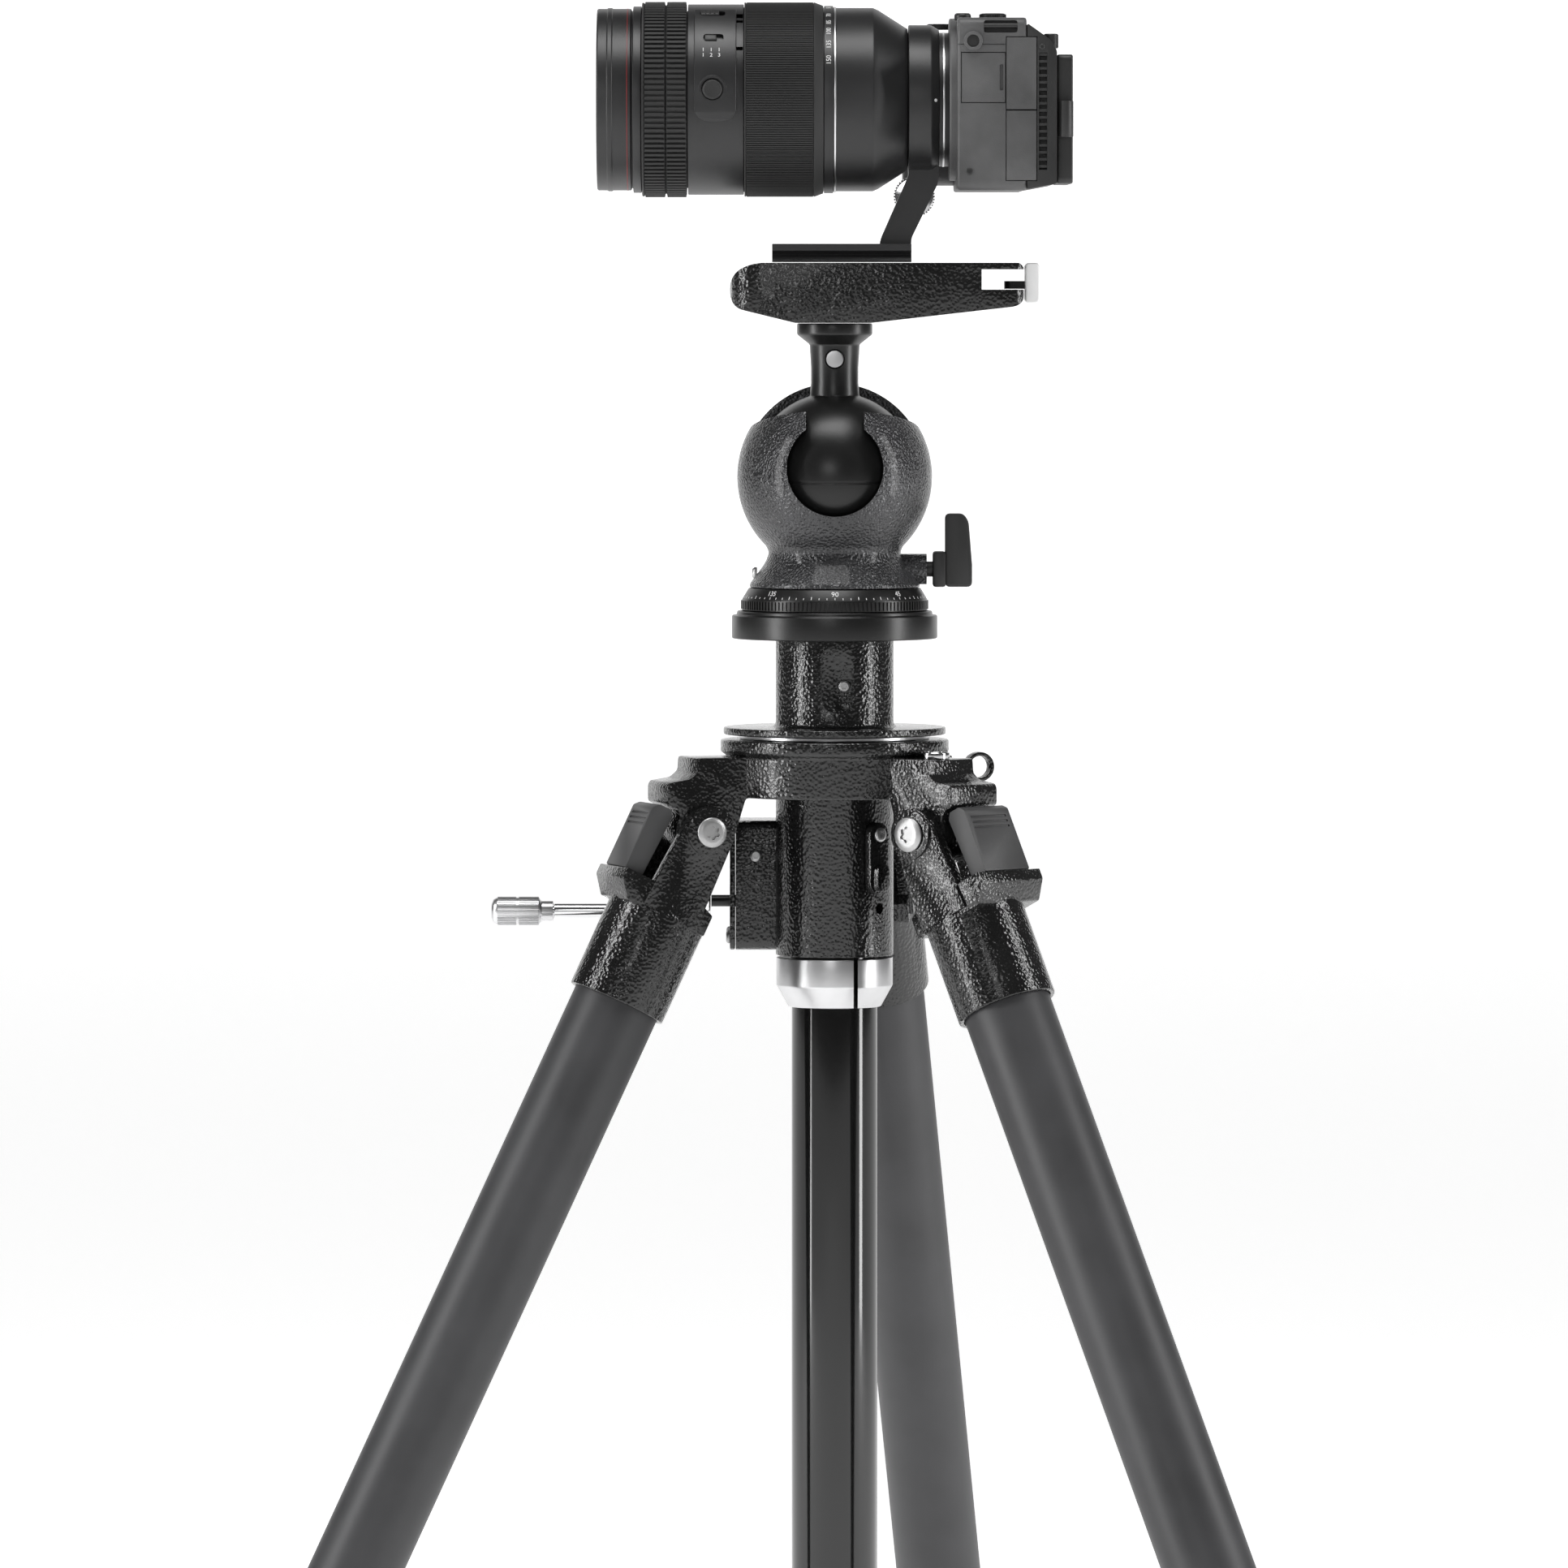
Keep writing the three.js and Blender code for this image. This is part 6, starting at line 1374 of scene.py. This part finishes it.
throat = rod("throat", (40, 0, LENS_AXIS), (SHELL_FRONT + 5, 0, LENS_AXIS), LENS_NECK + GAP, 112)
button_well = rod("well", (57.9, -20, CAMERA_TOP - 2), (57.9, -20, CAMERA_TOP + 5), 4.4)
strap_slot = outlined("slot", box_corners(67, 82.2, 361.4, 367.0), NEAR - 1, NEAR + 5, ease=1.2)
split = block("split", SHELL_FRONT - 1, 76.8, NEAR - 1, NEAR + 0.5, 355.9, 356.4)
shell = drilled(fused(shell, grip, lip), hollow, throat, button_well, strap_slot, split, *door_recesses())
done(shell, "camera", "shell_grey", ["camera_front_shell"])
strap_bar = rod("strap_bar", (66.8, NEAR + 1.6, 364.6), (82.4, NEAR + 1.6, 364.6), 1.1, 32)
done(strap_bar, "camera", "black_plastic")
print("shell:", len(shell.data.polygons), "faces")

# %% [markdown]
# Each door is a thin softened plate that rides on its own hinge. The front one has
# a finger groove along its free edge.

# %% Port doors
for name, (x, z, body) in DOORS.items():
    door = soften(block(name, x[0], x[1], NEAR, NEAR + DOOR_THICK, z[0], z[1]), 0.35)
    if body == "door_front":
        door = drilled(door, outlined("groove", box_corners(74.2, 75.8, 335.4, 347.2), NEAR - 1, NEAR + 0.9, ease=0.7))
    done(door, body, "shell_grey", [name])

# %% [markdown]
# The rear frame is darker, with a row of cooling fins along the near side. Fins
# are thin plates standing in a shallow slot.

# %% Rear frame and vents
rear_frame = outlined("camera_rear_frame", [
    (JOINT + GAP, CAMERA_BOTTOM + 0.5), (CAMERA_BACK, CAMERA_BOTTOM + 3), (CAMERA_BACK, CAMERA_TOP - 15),
    (CAMERA_BACK - 3, CAMERA_TOP - 10), (CAMERA_BACK - 10, CAMERA_TOP - 5), (JOINT + GAP, CAMERA_TOP - 2.6)],
    NEAR, FAR - 1, ease=1)
rear_frame = soften(rear_frame, 0.7)
rear_hollow = block("hollow", JOINT - 1, CAMERA_BACK - CAMERA_WALL, NEAR + 8, FAR - 1 - CAMERA_WALL,
                    CAMERA_BOTTOM + 3 + CAMERA_WALL, CAMERA_TOP - 15 - CAMERA_WALL)
vent = block("vent", 91.9, 95.6, NEAR - 1, NEAR + 4, 299.6, 352.4)
rear_frame = drilled(rear_frame, rear_hollow, vent, *door_recesses())
done(rear_frame, "camera", "black_plastic", ["camera_rear_frame"])
fins = [block("fin", 91.95, 95.55, NEAR + 0.3, NEAR + 3.8, 300.6 + 3.15 * index, 301.8 + 3.15 * index)
        for index in range(17)]
done(together("cooling_fins", *fins), "camera", "black_plastic")

# %% [markdown]
# The screen lies folded on the back. A slim bevelled panel hides its glass inside,
# and its knuckle stands at the near edge.

# %% Screen
SCREEN_FACE, SCREEN_BACK, SCREEN_NEAR, SCREEN_FAR, KNUCKLE, HINGE_Y = 100.3, 107.4, -42, 45, 3.6, -46
HINGE_LOW, HINGE_HIGH = LENS_AXIS - 17.6, LENS_AXIS - 1.2
knuckle = soften(rod("knuckle", (SCREEN_FACE + KNUCKLE, HINGE_Y, HINGE_LOW), (SCREEN_FACE + KNUCKLE, HINGE_Y, HINGE_HIGH),
                     KNUCKLE, 48), 0.4)
leaf = soften(block("leaf", SCREEN_FACE + KNUCKLE, SCREEN_BACK, HINGE_Y, SCREEN_NEAR - GAP, HINGE_LOW, HINGE_HIGH), 0.4)
done(together("screen_hinge", knuckle, leaf), "screen", "black_plastic", ["screen_hinge"])
screen = outlined("screen_panel", box_corners(SCREEN_NEAR, SCREEN_FAR, CAMERA_BOTTOM + 3, CAMERA_TOP - 16.5),
                  SCREEN_FACE, SCREEN_BACK, along="X", ease=3, steps=5)
screen = soften(screen, 0.8, segments=3)
inset = outlined("inset", box_corners(SCREEN_NEAR + 5, SCREEN_FAR - 5, CAMERA_BOTTOM + 8, CAMERA_TOP - 21.5),
                 SCREEN_BACK - 0.5, SCREEN_BACK + 1, along="X", ease=2)
done(drilled(screen, inset), "screen", "black_plastic", ["screen_panel"])

# %% [markdown]
# The last pieces are small: the record button, two ridged dials, the strap lug and
# the screws.

# %% Buttons, dials, lug and screws
record = turned("record_button", [(0, -0.8), (3.8, -0.8), (3.8, 1.7), (3.1, 2.5), (0, 2.6)], ease=0.4, sides=48)
moved(record, Matrix.Translation((57.9, -20, CAMERA_TOP)))
done(record, "record_button", "black_plastic", ["record_button"])
dial = turned("top_dial", [(0, GAP), (5.8, GAP), (5.8, 2.1), (5.2, 2.5), (0, 2.5)], ease=0.3, sides=64)
dial_rib = block("rib", 5.5, 6.15, -0.22, 0.22, 0.5, 2.1)
dial = together("top_dial", dial, around(dial_rib, 44, "Z"))
moved(dial, Matrix.Translation((71.6, -16, CAMERA_TOP)))
done(dial, "top_dial", "black_plastic", ["top_dial"])
lug = turned("strap_lug", [(2.8, 0), (4.3, 0), (4.3, 1.5), (2.8, 1.5)], ease=0.45, sides=48)
moved(lug, pointing((0, -1, 0), (62.2, NEAR - 0.05, 357.7)))
lug_core = turned("lug_core", [(0, 0), (2.7, 0), (2.7, 0.4), (0, 0.4)], ease=0.1, sides=48)
moved(lug_core, pointing((0, -1, 0), (62.2, NEAR - 0.05, 357.7)))
done(lug, "camera", "shell_grey")
done(lug_core, "camera", "black_plastic")
body_screws = [moved(torx_screw("screw", 1.6, 0.5, 24), pointing((0, -1, 0), (60.6, NEAR, 298.9))),
               moved(torx_screw("screw", 1.3, 0.5, 24), pointing((0, -1, 0), (93.3, NEAR, 355.1)))]
done(together("body_screws", *body_screws), "camera", "black_plastic")
back_dial = turned("back_dial", [(0, 0), (3.2, 0), (3.2, 6.2), (2.8, 6.6), (0, 6.6)], ease=0.3, sides=48)
back_rib = block("rib", 3.0, 3.35, -0.25, 0.25, 0.4, 6.1)
back_dial = together("back_dial", back_dial, around(back_rib, 28, "Z"))
moved(back_dial, Matrix.Translation((97.4, NEAR + 6, 354.4)))
done(back_dial, "camera", "black_plastic")
hand_dial = turned("hand_dial", [(0, 0), (5.4, 0), (5.4, 2.6), (0, 2.6)], ease=0.3, sides=64)
hand_rib = block("rib", 5.2, 5.7, -0.25, 0.25, 0.3, 2.3)
hand_dial = together("hand_dial", hand_dial, around(hand_rib, 40, "Z"))
moved(hand_dial, Matrix.Translation((48.4, 60, CAMERA_TOP - 3.2)))
done(hand_dial, "camera", "black_plastic")

# %% [markdown]
# The last cell counts the pieces made. The visual model has to stay inside the imported
# model's box.

# %% The end
print(len(made), "pieces made")
